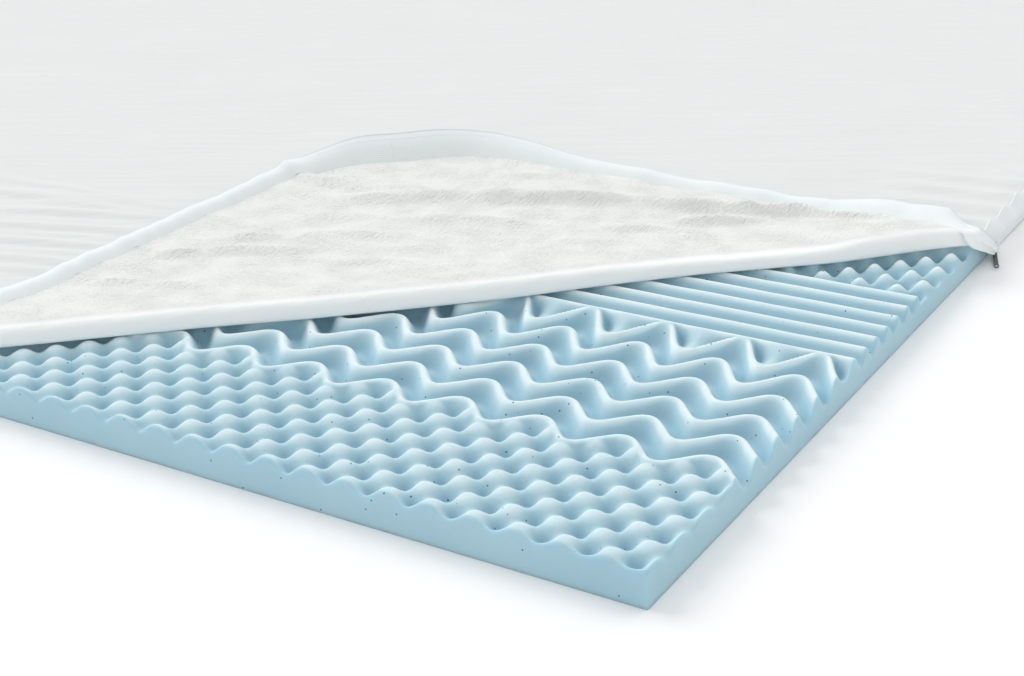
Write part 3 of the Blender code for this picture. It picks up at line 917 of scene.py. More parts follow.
    def down_to_foot(self, points: Array, loop: Array) -> tuple[Array, list, list]:
        """The sides, from the top's outline down to a level foot.

        Args:
            points: the top's points in the row frame.
            loop: numbers of the points along the outline.

        Returns:
            The sides' own points, their quads and the underside's outline.
        """
        foot, rim = self.slab.low.z, points[loop]
        shares = 1 - np.arange(1, self.wall_rows + 1) / self.wall_rows
        walls = np.repeat(rim[None], self.wall_rows, axis=0)
        walls[..., 2] = foot + (rim[:, 2] - foot) * shares[:, None]
        added = len(points) + np.arange(walls[..., 2].size).reshape(self.wall_rows, -1)
        ring = np.vstack([loop, added])
        after = np.roll(ring, -1, axis=1)
        sides = np.stack([ring[:-1], ring[1:], after[1:], after[:-1]], axis=-1).reshape(-1, 4)
        return walls.reshape(-1, 3), sides.tolist(), ring[-1][::-1].tolist()

    def build(self, material: bpy.types.Material) -> bpy.types.Object:
        """The slab as one closed mesh: relief, plain rest of the top, sides and underside.

        Args:
            material: the foam.

        Returns:
            The piece.
        """
        lines = self.lines()
        last = len(lines) - 1
        i, j = np.meshgrid(np.arange(last + 1), np.arange(last + 1), indexing="ij")
        kept = i + j <= last
        number = number_grid(kept)
        u, v = lines[i[kept]], lines[j[kept]]
        u, v, z = self.rounded(u, v, SLAB_THICKNESS - self.drop(u, v))
        top = self.slab.to_row(u, v, z)
        far_u = np.array([SLAB_WIDTH, SLAB_WIDTH, 0.0])
        far_v = np.array([0.0, SLAB_LENGTH, SLAB_LENGTH])
        points = np.concatenate([top, self.slab.to_row(far_u, far_v, SLAB_THICKNESS)])
        far = len(top) + np.arange(3)
        quads = cell_quads(number, *np.nonzero(i + j <= last - 2))
        d = np.arange(last)
        slopes = np.stack([number[d + 1, last - 1 - d], number[d, last - 1 - d],
                           number[d, last - d]], axis=1)
        step = np.arange(last + 1)
        plain = np.concatenate([far[::-1], number[step, last - step]])
        loop = np.concatenate([number[0, :0:-1], number[:, 0], far])
        walls, sides, underside = self.down_to_foot(points, loop)
        points = np.concatenate([points, walls])
        faces = quads.tolist() + slopes.tolist() + [plain.tolist()] + sides + [underside]
        piece = new_piece("foam_relief", points, faces)
        # Painted shade: the cut sides get a darker, bluer tone than the top, blended in near the
        # edges.
        tone = np.full(len(points), self.cut_side_painted_shade)
        inside = smooth(np.minimum(u, v) / self.cut_shade_blend)
        tone[:len(top)] += (self.tone(u, v) - self.cut_side_painted_shade) * inside
        piece.data.attributes.new("tone", "FLOAT", "POINT").data.foreach_set("value", tone)
        turn_outwards(piece)
        piece.data.materials.append(material)
        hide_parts("foam_slab")
        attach(piece, "root")
        return piece


# ---- Cover ----------------------------------------------------------------------------------


CRUMPLE_TURN = (-0.87, 0.49)    # direction in (u, v) along which the cloth's unevenness is long
CRUMPLE_LENGTH = 3              # of a crumple, for its width


@dataclass(frozen=True)
class Crease:
    """A soft ridge in the cloth from one (u, v) to another, steeper towards the bare corner."""

    start: tuple[float, float]
    end: tuple[float, float]
    height: float
    width: float                    # of its gentle side; the steep side has a part of it
    steepness: float = 0.55

    def lift(self, u: Array, v: Array) -> Array:
        """Height over (u, v): a bell across the crease that fades to nothing at its ends.

        The bell is exp(-(distance / width) squared), with its own width on each side, and the
        fade is the square root of the sine of pi times the share of the crease's length.

        Args:
            u: distance from the right side.
            v: distance from the front side.

        Returns:
            Array of u's shape.
        """
        (u0, v0), (u1, v1) = self.start, self.end
        run = np.array([u1 - u0, v1 - v0])
        share = np.clip(((u - u0) * run[0] + (v - v0) * run[1]) / run.dot(run), 0, 1)
        behind = (u - u0) * run[1] - (v - v0) * run[0] > 0
        distance = np.hypot(u - u0 - run[0] * share, v - v0 - run[1] * share)
        width = np.where(behind, self.width, self.width * self.steepness)
        return self.height * np.sqrt(np.sin(pi * share)) * np.exp(-(distance / width) ** 2)


def crumple(u: Array, v: Array, size: float, seed: int) -> Array:
    """Fine unevenness drawn out along the creases' own direction, between about -1 and 1.

    Args:
        u: distance from the right side.
        v: distance from the front side.
        size: mean width of a crumple.
        seed: picks their places.

    Returns:
        A ripple over the distance along that direction, divided by a crumple's length for its
        width, and the distance across it.
    """
    cosine, sine = CRUMPLE_TURN
    return ripple((u * cosine + v * sine) / CRUMPLE_LENGTH, u * sine - v * cosine, size, seed)


@dataclass
class Fold:
    """The cover's fold: the roll where it turns back, and the flap that lies behind it."""

    # How far the fold lies in front of the straight line, and the roll's radius, at distances
    # along the fold from its front end.
    line: list[tuple[float, float, float]] = field(default_factory=lambda: [
        (0.000, 0.000, 0.0080), (0.050, 0.009, 0.0082), (0.090, 0.013, 0.0083),
        (0.264, 0.016, 0.0085), (0.360, 0.022, 0.0085), (0.455, 0.024, 0.0085),
        (0.562, 0.024, 0.0085), (0.655, 0.017, 0.0080), (0.758, 0.013, 0.0066),
        (0.841, 0.017, 0.0062), (0.900, 0.021, 0.0070), (0.940, 0.020, 0.0092),
        (0.985, 0.016, 0.0098), (1.030, 0.013, 0.0090), (1.066, 0.012, 0.0064)])
    line_reach: float = 0.030
    squareness: float = 0.75        # power of the roll's sine and cosine; 1 is round
    slope: float = 0.45             # how far the roll leans back for its height
    depth: float = 0.422            # of the flap behind the straight line
    left_inset: float = 0.012
    right_inset: float = 0.005
    tip_rounding: float = 0.020
    least_depth: float = 0.003
    settling: float = 0.130         # behind the roll, over which the flap comes down
    rest: float = 0.0050            # height of the settled flap over the panel
    hollow_centre: tuple[float, float] = (0.700, 0.600)
    hollow_size: tuple[float, float] = (0.055, 0.030)
    hollow_depth: float = 0.0040
    least_height: float = 0.0025
    # Height, size and seed of the settled flap's unevenness: smooth, then crumpled.
    uneven: tuple[float, float, int] = (0.0010, 0.09, 11)
    crumpled: tuple[float, float, int] = (0.0007, 0.028, 12)
    crumpled_high: tuple[float, float, int] = (0.0004, 0.028, 13)   # beside the roll
    crumpled_from: float = 0.02
    creases: list[Crease] = field(default_factory=lambda: [
        Crease((0.653, 0.526), (0.476, 0.631), 0.0090, 0.018),
        Crease((0.520, 0.607), (0.320, 0.690), 0.0128, 0.020),
        Crease((0.350, 0.668), (0.225, 0.710), 0.0128, 0.018),
        Crease((0.250, 0.708), (0.160, 0.736), 0.0105, 0.014),
        Crease((0.290, 0.644), (0.200, 0.690), 0.0090, 0.014),
        Crease((0.200, 0.718), (0.080, 0.750), 0.0090, 0.014),
        Crease((0.745, 0.572), (0.670, 0.575), 0.0090, 0.014),
        Crease((0.690, 0.572), (0.570, 0.588), 0.0075, 0.014),
        Crease((0.675, 0.328), (0.575, 0.381), 0.0075, 0.010),
        Crease((0.718, 0.203), (0.669, 0.224), 0.0067, 0.009),
        Crease((0.670, 0.212), (0.585, 0.249), 0.0075, 0.010),
        Crease((0.715, 0.288), (0.675, 0.324), 0.0060, 0.009),
        Crease((0.680, 0.374), (0.631, 0.394), 0.0060, 0.009),
        Crease((0.360, 0.588), (0.260, 0.616), 0.0053, 0.012),
        Crease((0.545, 0.520), (0.425, 0.562), 0.0053, 0.013),
        Crease((0.625, 0.415), (0.530, 0.455), 0.0053, 0.012),
        Crease((0.375, 0.527), (0.280, 0.560), 0.0045, 0.012),
        Crease((0.545, 0.358), (0.450, 0.400), 0.0053, 0.011),
    ])

    def to_slab(self, along: Array, across: Array) -> tuple[Array, Array]:
        """(u, v) of points counted along the fold from its front end, and behind it."""
        return FOLD_LEG + (across - along) / sqrt(2), (along + across) / sqrt(2)

    def bow(self, along: Array) -> Array:
        """How far the fold lies in front of the straight line between its ends."""
        return blended(self.line, along, 1, self.line_reach)

    def radius(self, along: Array) -> Array:
        """Inner radius of the roll."""
        return blended(self.line, along, 2, self.line_reach)

    def roll(self, along: Array, turn: Array) -> tuple[Array, Array, Array]:
        """The roll's inner face, from the panel (turn 0) to the flap (turn pi).

        A squared-off half circle that leans back: the sine and the cosine of the turn are raised
        to the squareness, and each height adds the slope's share of it backwards.

        Args:
            along: distance along the fold.
            turn: angle around the roll.

        Returns:
            u, v and z.
        """
        radius = self.radius(along)
        sine, cosine = np.sin(turn), np.cos(turn)
        out = np.abs(sine) ** self.squareness
        up = np.sign(cosine) * np.abs(cosine) ** self.squareness
        across = radius * (1 - out) - self.bow(along) + self.slope * radius * (1 - up)
        return (*self.to_slab(along, across), PANEL_HEIGHT + radius * (1 - up))

    def flap_start(self, along: Array) -> Array:
        """How far behind the straight line the roll ends and the flap begins."""
        return (1 + 2 * self.slope) * self.radius(along) - self.bow(along)

    def edge(self, along: Array) -> Array:
        """How far behind the straight line the flap's free edge lies.

        Args:
            along: distance along the fold.

        Returns:
            The least of the distances from either end, less its inset, and the flap's depth,
            rounded where two of them meet.
        """
        edge = soft_minimum([along - self.left_inset, FOLD_LENGTH - self.right_inset - along,
                             np.full_like(along, self.depth)], self.tip_rounding)
        return np.maximum(edge, self.flap_start(along) + self.least_depth)

    def settled(self, u: Array, v: Array) -> Array:
        """Height of the settled flap's inner face over the panel's.

        Args:
            u: distance from the right side.
            v: distance from the front side.

        Returns:
            The rest height with its creases and unevenness, less a bell-shaped hollow.
        """
        (u0, v0), (wide, long) = self.hollow_centre, self.hollow_size
        height, size, seed = self.uneven
        uneven = height * (1 + ripple(u, v, size, seed))
        height, size, seed = self.crumpled
        crumpled = height * (1 + crumple(u, v, size, seed))
        lying = self.rest + sum(crease.lift(u, v) for crease in self.creases) + uneven + crumpled
        hollow = np.exp(-(((u - u0) / wide) ** 2 + ((v - v0) / long) ** 2))
        return lying - np.minimum(self.hollow_depth, lying - self.least_height) * hollow

    def flap(self, along: Array, share: Array) -> tuple[Array, Array, Array]:
        """The flap's inner face, which looks up.

        Args:
            along: distance along the fold.
            share: 0 at the roll, 1 at the free edge.

        Returns:
            u, v and z.
        """
        start = self.flap_start(along)
        across = start + share * (self.edge(along) - start)
        u, v = self.to_slab(along, across)
        height, size, seed = self.crumpled_high
        crumpled = height * crumple(u, v, size, seed)
        high = 2 * self.radius(along) + crumpled * smooth((across - start) / self.crumpled_from)
        sunk = smooth((across - start) / self.settling)
        return u, v, PANEL_HEIGHT + high + (self.settled(u, v) - high) * sunk


@dataclass
class TopPanel:
    """The cover's top panel: one knit cloth that lies on the slab, rolls over and lies back."""

    slab: SlabFrame
    fold: Fold
    creases: list[Crease] = field(default_factory=lambda: [
        Crease((1.070, 0.405), (0.830, 0.424), 0.0034, 0.010),
        Crease((1.010, 0.385), (0.800, 0.421), 0.0026, 0.009),
        Crease((1.060, 0.362), (0.860, 0.398), 0.0044, 0.012),
        Crease((0.965, 0.362), (0.810, 0.402), 0.0030, 0.008),
        Crease((0.990, 0.318), (0.785, 0.392), 0.0048, 0.012),
        Crease((0.935, 0.310), (0.800, 0.362), 0.0026, 0.007),
        Crease((0.960, 0.282), (0.765, 0.352), 0.0044, 0.011),
        Crease((0.905, 0.276), (0.790, 0.318), 0.0026, 0.007),
        Crease((0.925, 0.246), (0.765, 0.300), 0.0044, 0.010),
        Crease((0.875, 0.232), (0.760, 0.276), 0.0030, 0.008),
        Crease((0.890, 0.206), (0.765, 0.246), 0.0038, 0.010),
        Crease((0.850, 0.190), (0.760, 0.217), 0.0032, 0.008),
        Crease((0.130, 0.792), (-0.004, 0.803), 0.0045, 0.012),
        Crease((0.140, 0.835), (-0.004, 0.852), 0.0040, 0.013),
        Crease((0.150, 0.882), (-0.004, 0.903), 0.0040, 0.014),
        Crease((0.160, 0.930), (-0.004, 0.954), 0.0035, 0.015),
    ])
    # Height, size and seed of the lying cloth's unevenness: smooth, then crumpled.
    uneven: tuple[float, float, int] = (0.0005, 0.16, 5)
    crumpled: tuple[float, float, int] = (0.0003, 0.05, 6)
    # Scallops: the side edge is draped over the foam's peaks
    scallop_pitch: float = 0.0505
    scallop_first: float = 0.803
    scallop_lead: float = 0.025     # in front of the first one, where they start
    scallop_start: float = 0.02     # over which they grow to their height
    scallop_height: float = 0.0055
    scallop_reach: float = 0.030    # inwards from the side
    scallop_mean: float = 0.8       # of their height, and how far they differ from it
    scallop_spread: float = 0.2
    scallop_drift: float = 0.11
    # Mesh: spacing and end of the closer lines behind the fold's, then start and number of the rest
    near_lines: int = 138
    creased: tuple[float, float] = (0.010, 1.16)
    plain_columns: tuple[float, int] = (1.20, 19)
    scalloped: tuple[float, float] = (0.009, 1.10)
    plain_rows: tuple[float, int] = (1.13, 24)
    roll_steps: int = 12
    flap_steps: int = 92
    fold_reach: float = 0.050       # of the lying cloth that follows the fold's bends

    def lying_height(self, u: Array, v: Array) -> Array:
        """Height of the lying cloth's inner face: its creases, scallops and a faint unevenness.

        Args:
            u: distance from the right side.
            v: distance from the front side.

        Returns:
            Array of u's shape.
        """
        lift = sum(crease.lift(u, v) for crease in self.creases) + self.scallop(u, v)
        height, size, seed = self.uneven
        uneven = height * (1 + ripple(u, v, size, seed))
        height, size, seed = self.crumpled
        return PANEL_HEIGHT + lift + (uneven + height * (1 + crumple(u, v, size, seed)))

    def scallop(self, u: Array, v: Array) -> Array:
        """Low waves along the right side: the height times the wave, with a bell inwards."""
        return self.scallop_height * self.wave(v) * np.exp(-(u / self.scallop_reach) ** 2)

    def wave(self, v: Array) -> Array:
        """The scallops' share of their height: half of 1 + cos(2 pi v / pitch).

        They start behind the slider, and they differ a little from one another.

        Args:
            v: distance from the front side.

        Returns:
            Array of v's shape, from 0 between two scallops to 1.
        """
        from_first = v - self.scallop_first
        wave = (1 + np.cos(2 * pi * from_first / self.scallop_pitch)) / 2
        drift = ripple(np.zeros_like(v), v, self.scallop_drift, seed=17)
        uneven = self.scallop_mean + self.scallop_spread * drift
        return wave * uneven * smooth((from_first + self.scallop_lead) / self.scallop_start)

    def mesh_lines(self) -> tuple[Array, Array]:
        """Mesh lines across the bed and along it, the first ones even up to the fold's ends.

        Returns:
            The u of the columns and the v of the rows.
        """
        near = np.linspace(-PANEL_OVERHANG, FOLD_LEG + PANEL_OVERHANG, self.near_lines + 1)
        lines = []
        for (step, end), (start, count), far in (
                (self.creased, self.plain_columns, SLAB_WIDTH + PANEL_OVERHANG),
                (self.scalloped, self.plain_rows, SLAB_LENGTH + PANEL_OVERHANG)):
            lines.append(np.concatenate([near, np.arange(near[-1] + step, end, step),
                                         np.linspace(start, far, count)]))
        return lines[0], lines[1]

    def turned_rows(self, along: Array, first: Array) -> tuple[list[Array], list[Array]]:
        """Rows of the roll and the flap, and their places on the flat cloth.

        Args:
            along: distances along the fold.
            first: the row on the lying cloth from which the roll starts.

        Returns:
            Arrays (places along, 3) in slab coordinates, and arrays (places along, 2).
        """
        steps = [(self.fold.roll, pi * k / self.roll_steps) for k in range(1, self.roll_steps + 1)]
        steps += [(self.fold.flap, k / self.flap_steps) for k in range(1, self.flap_steps + 1)]
        rows, cloth = [], []
        previous, spent = first, np.zeros_like(along)
        for place, value in steps:
            row = np.stack(place(along, np.full_like(along, value)), axis=-1)
            spent = spent + np.linalg.norm(row - previous, axis=-1)
            rows.append(row)
            cloth.append(np.stack(self.fold.to_slab(along, -spent), axis=-1))
            previous = row
        return rows, cloth

    def build(self, material: bpy.types.Material) -> bpy.types.Object:
        """The lying cloth on a grid cut off along the fold line, then the roll and the flap.

        Args:
            material: the panel's knit.

        Returns:
            The piece.
        """
        columns, rows = self.mesh_lines()
        i, j = np.meshgrid(np.arange(len(columns)), np.arange(len(rows)), indexing="ij")
        last = self.near_lines
        kept = i + j >= last
        number = number_grid(kept)
        u, v = columns[i[kept]], rows[j[kept]]
        along, across = (v - u + FOLD_LEG) / sqrt(2), (u + v - FOLD_LEG) / sqrt(2)
        line = self.fold.radius(along) - self.fold.bow(along)
        across = across + line * np.clip(1 - across / self.fold_reach, 0, 1)
        u, v = self.fold.to_slab(along, across)
        z = self.lying_height(u, v)
        fold_i = np.arange(last, -1, -1)
        fold_j = last - fold_i
        along = (rows[fold_j] - columns[fold_i] + FOLD_LEG) / sqrt(2)
        at_fold = number[fold_i, fold_j]
        u[at_fold], v[at_fold], z[at_fold] = self.fold.roll(along, np.zeros_like(along))
        quads = cell_quads(number, *np.nonzero((i + j >= last)[:-1, :-1]))
        d = np.arange(last)
        slopes = np.stack([number[d + 1, last - 1 - d], number[d, last - d],
                           number[d + 1, last - d]], axis=1)
        lying = np.stack([u, v, z], axis=-1)
        turned, turned_cloth = self.turned_rows(along, lying[at_fold])
        added = len(lying) + np.arange(len(turned) * len(along)).reshape(len(turned), -1)
        lines = np.vstack([at_fold, added])
        strips = np.stack([lines[:-1, :-1], lines[1:, :-1], lines[1:, 1:], lines[:-1, 1:]],
                          axis=-1).reshape(-1, 4)
        points = self.slab.to_row(*np.concatenate([lying, *turned]).T)
        cloth = np.concatenate([lying[:, :2], *turned_cloth])
        faces = quads.tolist() + slopes.tolist() + strips.tolist()
        piece = new_piece("cover_panel_cloth", points, faces, cloth)
        add_wall(piece, CLOTH)
        piece.data.materials.append(material)
        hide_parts("cover_top_panel")
        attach(piece, "root")
        return piece


class Side(Enum):
    """A side of the bed, by the name that its pieces carry."""

    FRONT = "front"
    LEFT = "left"
    BACK = "back"
    RIGHT = "right"


@dataclass(frozen=True)
class Strip:
    """A strip of band or tape as it is cut: its piece, its solid's node, its stuff and wall."""

    name: str
    node: str
    slot: str
    material: bpy.types.Material
    wall: float


@dataclass
class SideBands:
    """The cover's side band: hanging at the slab's sides, and turned up along the flap."""

    slab: SlabFrame
    fold: Fold
    panel: TopPanel
    band_height: float = 0.029
    tape_width: float = 0.010
    seam_gap: float = 0.0002
    # The band on the flap. Distance along the fold, lean in degrees, hump in metres, and the
    # share of the band's width that shows: it is creased where less than all of it does.
    profile: list[tuple[float, float, float, float]] = field(default_factory=lambda: [
        (0.000, 10, 0.004, 0.62), (0.150, 16, 0.004, 0.60), (0.330, 18, 0.004, 0.58),
        (0.400, 22, 0.004, 0.62), (0.440, 30, 0.004, 0.78), (0.490, 38, 0.003, 1.02),
        (0.560, 40, 0.003, 1.06), (0.610, 40, 0.003, 1.02), (0.660, 34, 0.003, 0.88),
        (0.710, 28, 0.003, 0.68), (0.760, 20, 0.003, 0.58), (0.850, 14, 0.003, 0.56),
        (0.930, 14, 0.003, 0.60), (0.980, 12, 0.003, 0.78), (1.040, 4, 0.002, 1.15)])
    blend: float = 0.030            # along the fold, over which the profile changes
    tangent_reach: float = 0.004
    tip_gap: float = 0.0001         # in the seam at the flap's tip
    left_lines: int = 160
    right_lines: int = 150
    band_columns: int = 14
    tape_columns: int = 6
    least_flat: float = 0.010
    # The tail that runs down to the slider: (u, v, z) of its seam edge and of its free edge.
    tail_start: float = 1.035
    tail: list[tuple[tuple, tuple]] = field(default_factory=lambda: [
        ((0.0074, 0.7358, 0.0515), (0.0198, 0.7834, 0.0455)),
        ((0.0003, 0.7313, 0.0455), (0.0069, 0.7764, 0.0455)),
        ((-0.0070, 0.7299, 0.0391), (-0.0030, 0.7722, 0.0446)),
        ((-0.0095, 0.7487, 0.0295), (-0.0075, 0.7807, 0.0377)),
        ((-0.0098, 0.7718, 0.0201), (-0.0088, 0.7959, 0.0274)),
        ((-0.0098, 0.7905, 0.0118), (-0.0088, 0.8120, 0.0171)),
        ((-0.0098, 0.8072, 0.0051), (-0.0088, 0.8241, 0.0086))])
    tail_steps: int = 8             # between two of its rows
    tail_lead: int = 4              # rows of the flap's strip from which the tail takes its start
    tail_crease: float = 0.0012     # height of the fold line along the tail
    tail_crease_at: float = 0.45    # share of the width
    tail_crease_width: float = 0.12
    tail_crease_start: float = 1.5  # rows over which it grows
    # The hanging band
    hem_height: float = 0.0012
    bulge: float = 0.0030
    bulge_power: float = 0.8        # of the sine over the band's height
    # Puckers: share of the bulge, drift over the height, mean length and seed.
    puckers: tuple[tuple[float, float, float, int], ...] = (
        (0.35, 0.02, 0.045, 21), (0.25, 0.01, 0.02, 22))
    gather: float = 0.0045          # how far the right band stands out below each scallop
    gather_power: float = 0.6
    hanging_step: float = 0.005
    hanging_rows: int = 11
    front_start: float = 0.767
    right_start: float = 0.768
    right_slant: float = 0.046      # how much further back the right band starts at its foot
    zip_start: float = 0.822
    zip_gap: float = 4 * GAP        # between the closed zip and the band above it

    def turned(self, along: Array, width: Array) -> Array:
        """Inner face of the band on the flap.

        It leaves the flap's edge at its lean, and a hump goes across it with the sine of pi
        times the share of its width.

        Args:
            along: distance along the fold.
            width: distance out of the seam.

        Returns:
            Array (..., 3) in slab coordinates.
        """
        edge = np.ones_like(along)
        before, after, seam = (
            np.stack(self.fold.flap(along + shift, edge), axis=-1)
            for shift in (-self.tangent_reach, self.tangent_reach, 0.0))
        tangent = after - before
        outward = np.stack([-tangent[..., 1], tangent[..., 0], np.zeros_like(along)], axis=-1)
        outward /= np.linalg.norm(outward, axis=-1, keepdims=True)
        outward *= np.where(outward[..., :1] + outward[..., 1:2] < 0, -1, 1)
        lean, hump, shown = (blended(self.profile, along, column, self.blend)[..., None]
                             for column in (1, 2, 3))
        lean = np.radians(lean)
        rise = np.array([0.0, 0.0, 1.0])
        level = outward * np.cos(lean) + rise * np.sin(lean)
        normal = rise * np.cos(lean) - outward * np.sin(lean)
        share = np.minimum(width / (self.band_height + self.tape_width), 1.0)[..., None]
        seen = width[..., None] * shown
        return seam + level * seen + normal * hump * np.sin(pi * share)

    def strip_surface(self, along: Array, with_tail: bool, inner: float, outer: float,
                      steps: int) -> tuple[Array, Array]:
        """Surface of a strip of the turned band between two distances from the seam.

        Args:
            along: distances along the fold.
            with_tail: whether the strip goes on down to the slider.
            inner: the nearer distance from the seam.
            outer: the farther one.
            steps: faces across the strip.

        Returns:
            Points (rows, columns, 3) in slab coordinates, and places (rows, columns, 2) on the
            strip: the length along its middle, and the distance from the seam.
        """
        widths = np.linspace(inner, outer, steps + 1)
        points = self.turned(*np.meshgrid(along, widths, indexing="ij"))
        if with_tail:
            points = np.concatenate([points, self.tail_points(points, widths)])
        lengths = np.linalg.norm(np.diff(points[:, steps // 2], axis=0), axis=-1)
        run = np.concatenate([[0], np.cumsum(lengths)])
        cloth = np.stack(np.broadcast_arrays(run[:, None], widths[None, :]), axis=-1)
        return points, cloth

    def tail_points(self, flap_points: Array, widths: Array) -> Array:
        """Rows of the strip from its last row on the flap down to the slider.

        A Catmull-Rom curve along the strip at each width, through the tail's rows. A low fold
        line, as a bell across the strip, runs along it.

        Args:
            flap_points: the strip's rows on the flap.
            widths: distances from the seam.

        Returns:
            Array (rows, widths, 3).
        """
        share = widths / (self.band_height + self.tape_width)
        seam, free = np.array(self.tail).transpose(1, 0, 2)[:, :, None]
        knots = seam + (free - seam) * share[:, None]
        beyond = 2 * knots[-1] - knots[-2]
        knots = np.concatenate([flap_points[[-self.tail_lead, -1]], knots, beyond[None]])
        spans = len(self.tail)
        fine = np.linspace(0, spans, self.tail_steps * spans + 1)[1:]
        low = np.minimum(fine.astype(int), spans - 1)
        t = (fine - low)[:, None, None]
        before, here, there, after = (knots[low + k] for k in range(4))
        rows = here + 0.5 * t * (there - before + t * (2 * before - 5 * here + 4 * there - after
                                                       + t * (3 * (here - there) + after - before)))
        normal = np.cross(rows[:, -1:] - rows[:, :1], np.gradient(rows, axis=0))
        normal /= np.linalg.norm(normal, axis=-1, keepdims=True)
        from_line = (share - self.tail_crease_at) / self.tail_crease_width
        fold_line = self.tail_crease * np.exp(-from_line ** 2)
        fade = smooth(fine / self.tail_crease_start)[:, None, None]
        return rows + normal * fold_line[None, :, None] * fade

    def make_strip(self, strip: Strip, along: Array, with_tail: bool, inner: float, outer: float,
                   steps: int) -> bpy.types.Object:
        """One strip of the turned band as a piece.

        Args:
            strip: what it is.
            along: distances along the fold.
            with_tail: whether it goes on down to the slider.
            inner: the nearer distance from the seam.
            outer: the farther one.
            steps: faces across it.

        Returns:
            The piece.
        """
        points, cloth = self.strip_surface(along, with_tail, inner, outer, steps)
        faces = grid_quads(*points.shape[:2])
        points = self.slab.to_row(*np.moveaxis(points, -1, 0)).reshape(-1, 3)
        piece = new_piece(strip.name, points, faces.tolist(), cloth.reshape(-1, 2))
        add_wall(piece, strip.wall)
        piece.data.materials.append(strip.material)
        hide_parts(strip.node)
        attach(piece, "root")
        return piece

    def hanging(self, strip: Strip, start: tuple, end: tuple, outward: tuple, foot: float,
                top: float, bulge: float, slant: float = 0.0) -> bpy.types.Object:
        """A hanging strip, straight in plan, with a soft bulge outwards and small puckers.

        The bulge goes with a power of the sine of pi times the share of the height. The top of
        a bulging strip follows the panel. A strip that starts slanting is gathered below the
        panel's scallops.

        Args:
            strip: what it is.
            start: (u, v) of its start.
            end: (u, v) of its end.
            outward: direction in (u, v) away from the slab.
            foot: height of its lower edge.
            top: height of its upper edge, where it doesn't follow the panel.
            bulge: how far it stands out halfway up, or 0 for a flat strip.
            slant: how much nearer to its end it starts at its foot.

        Returns:
            The piece.
        """
        start, end, outward = (np.array((*p, 0.0)) for p in (start, end, outward))
        length = np.linalg.norm(end - start)
        lean = (end - start) / length * slant
        columns = max(int(length / self.hanging_step), 2)
        share, rise = np.meshgrid(np.linspace(0, 1, columns), np.linspace(0, 1, self.hanging_rows),
                                  indexing="ij")
        u, v = (start[k] + (end[k] - start[k]) * share for k in (0, 1))
        if bulge > 0:
            top = self.panel.lying_height(u, v) + CLOTH
        puckers = sum(part * ripple(share * length, rise * drift, size, seed)
                      for part, drift, size, seed in self.puckers)
        swell = bulge * np.sin(pi * rise) ** self.bulge_power * (1 + puckers)
        if slant > 0:
            out = self.gather * self.panel.wave(v)
            swell = swell + out * np.sin(pi * rise) ** self.gather_power
        points = (start + (end - start) * share[..., None] + outward * swell[..., None]
                  + lean * ((1 - share) * (1 - rise))[..., None]
                  + np.array([0, 0, 1.0]) * (foot + (top - foot) * rise)[..., None])
        faces = grid_quads(*points.shape[:2])
        points = self.slab.to_row(*np.moveaxis(points, -1, 0)).reshape(-1, 3)
        cloth = np.stack([share * length, rise * (top - foot)], axis=-1).reshape(-1, 2)
        first = points[faces[0]]
        normal = np.cross(first[1] - first[0], first[2] - first[1])
        # The row frame's x runs against u.
        if normal[0] * -outward[0] + normal[1] * outward[1] < 0:
            faces = faces[:, ::-1]
        piece = new_piece(strip.name, points, faces.tolist(), cloth)
        add_wall(piece, strip.wall)
        piece.data.materials.append(strip.material)
        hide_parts(strip.node)
        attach(piece, "root")
        return piece

    def build_turned(self, cloth: bpy.types.Material,
                     tape: bpy.types.Material) -> list[bpy.types.Object]:
        """The band on the flap in its two strips, and the opened zip's tape along its free edge.

        Args:
            cloth: the band's knit.
            tape: the zip's tape.

        Returns:
            The pieces.
        """
        first = -PANEL_OVERHANG * sqrt(2)
        middle = FOLD_LENGTH / 2
        left = np.linspace(first, middle - self.tip_gap / 2, self.left_lines)
        right = np.linspace(middle + self.tip_gap / 2, self.tail_start, self.right_lines)
        whole = np.linspace(first, self.tail_start, self.left_lines + self.right_lines)
        left_strip = Strip("band_cloth_left", "turned_band_left", "band_cloth", cloth, CLOTH)
        right_strip = Strip("band_cloth_right", "turned_band_right", "band_cloth", cloth, CLOTH)
        zip_strip = Strip("zip_tape_cloth", "zip_tape_open", "zip_tape", tape, TAPE)
        return [
            self.make_strip(left_strip, left, False, 0.0, self.band_height, self.band_columns),
            self.make_strip(right_strip, right, True, 0.0, self.band_height, self.band_columns),
            self.make_strip(zip_strip, whole, True, self.band_height + self.seam_gap,
                            self.band_height + self.tape_width, self.tape_columns),
        ]

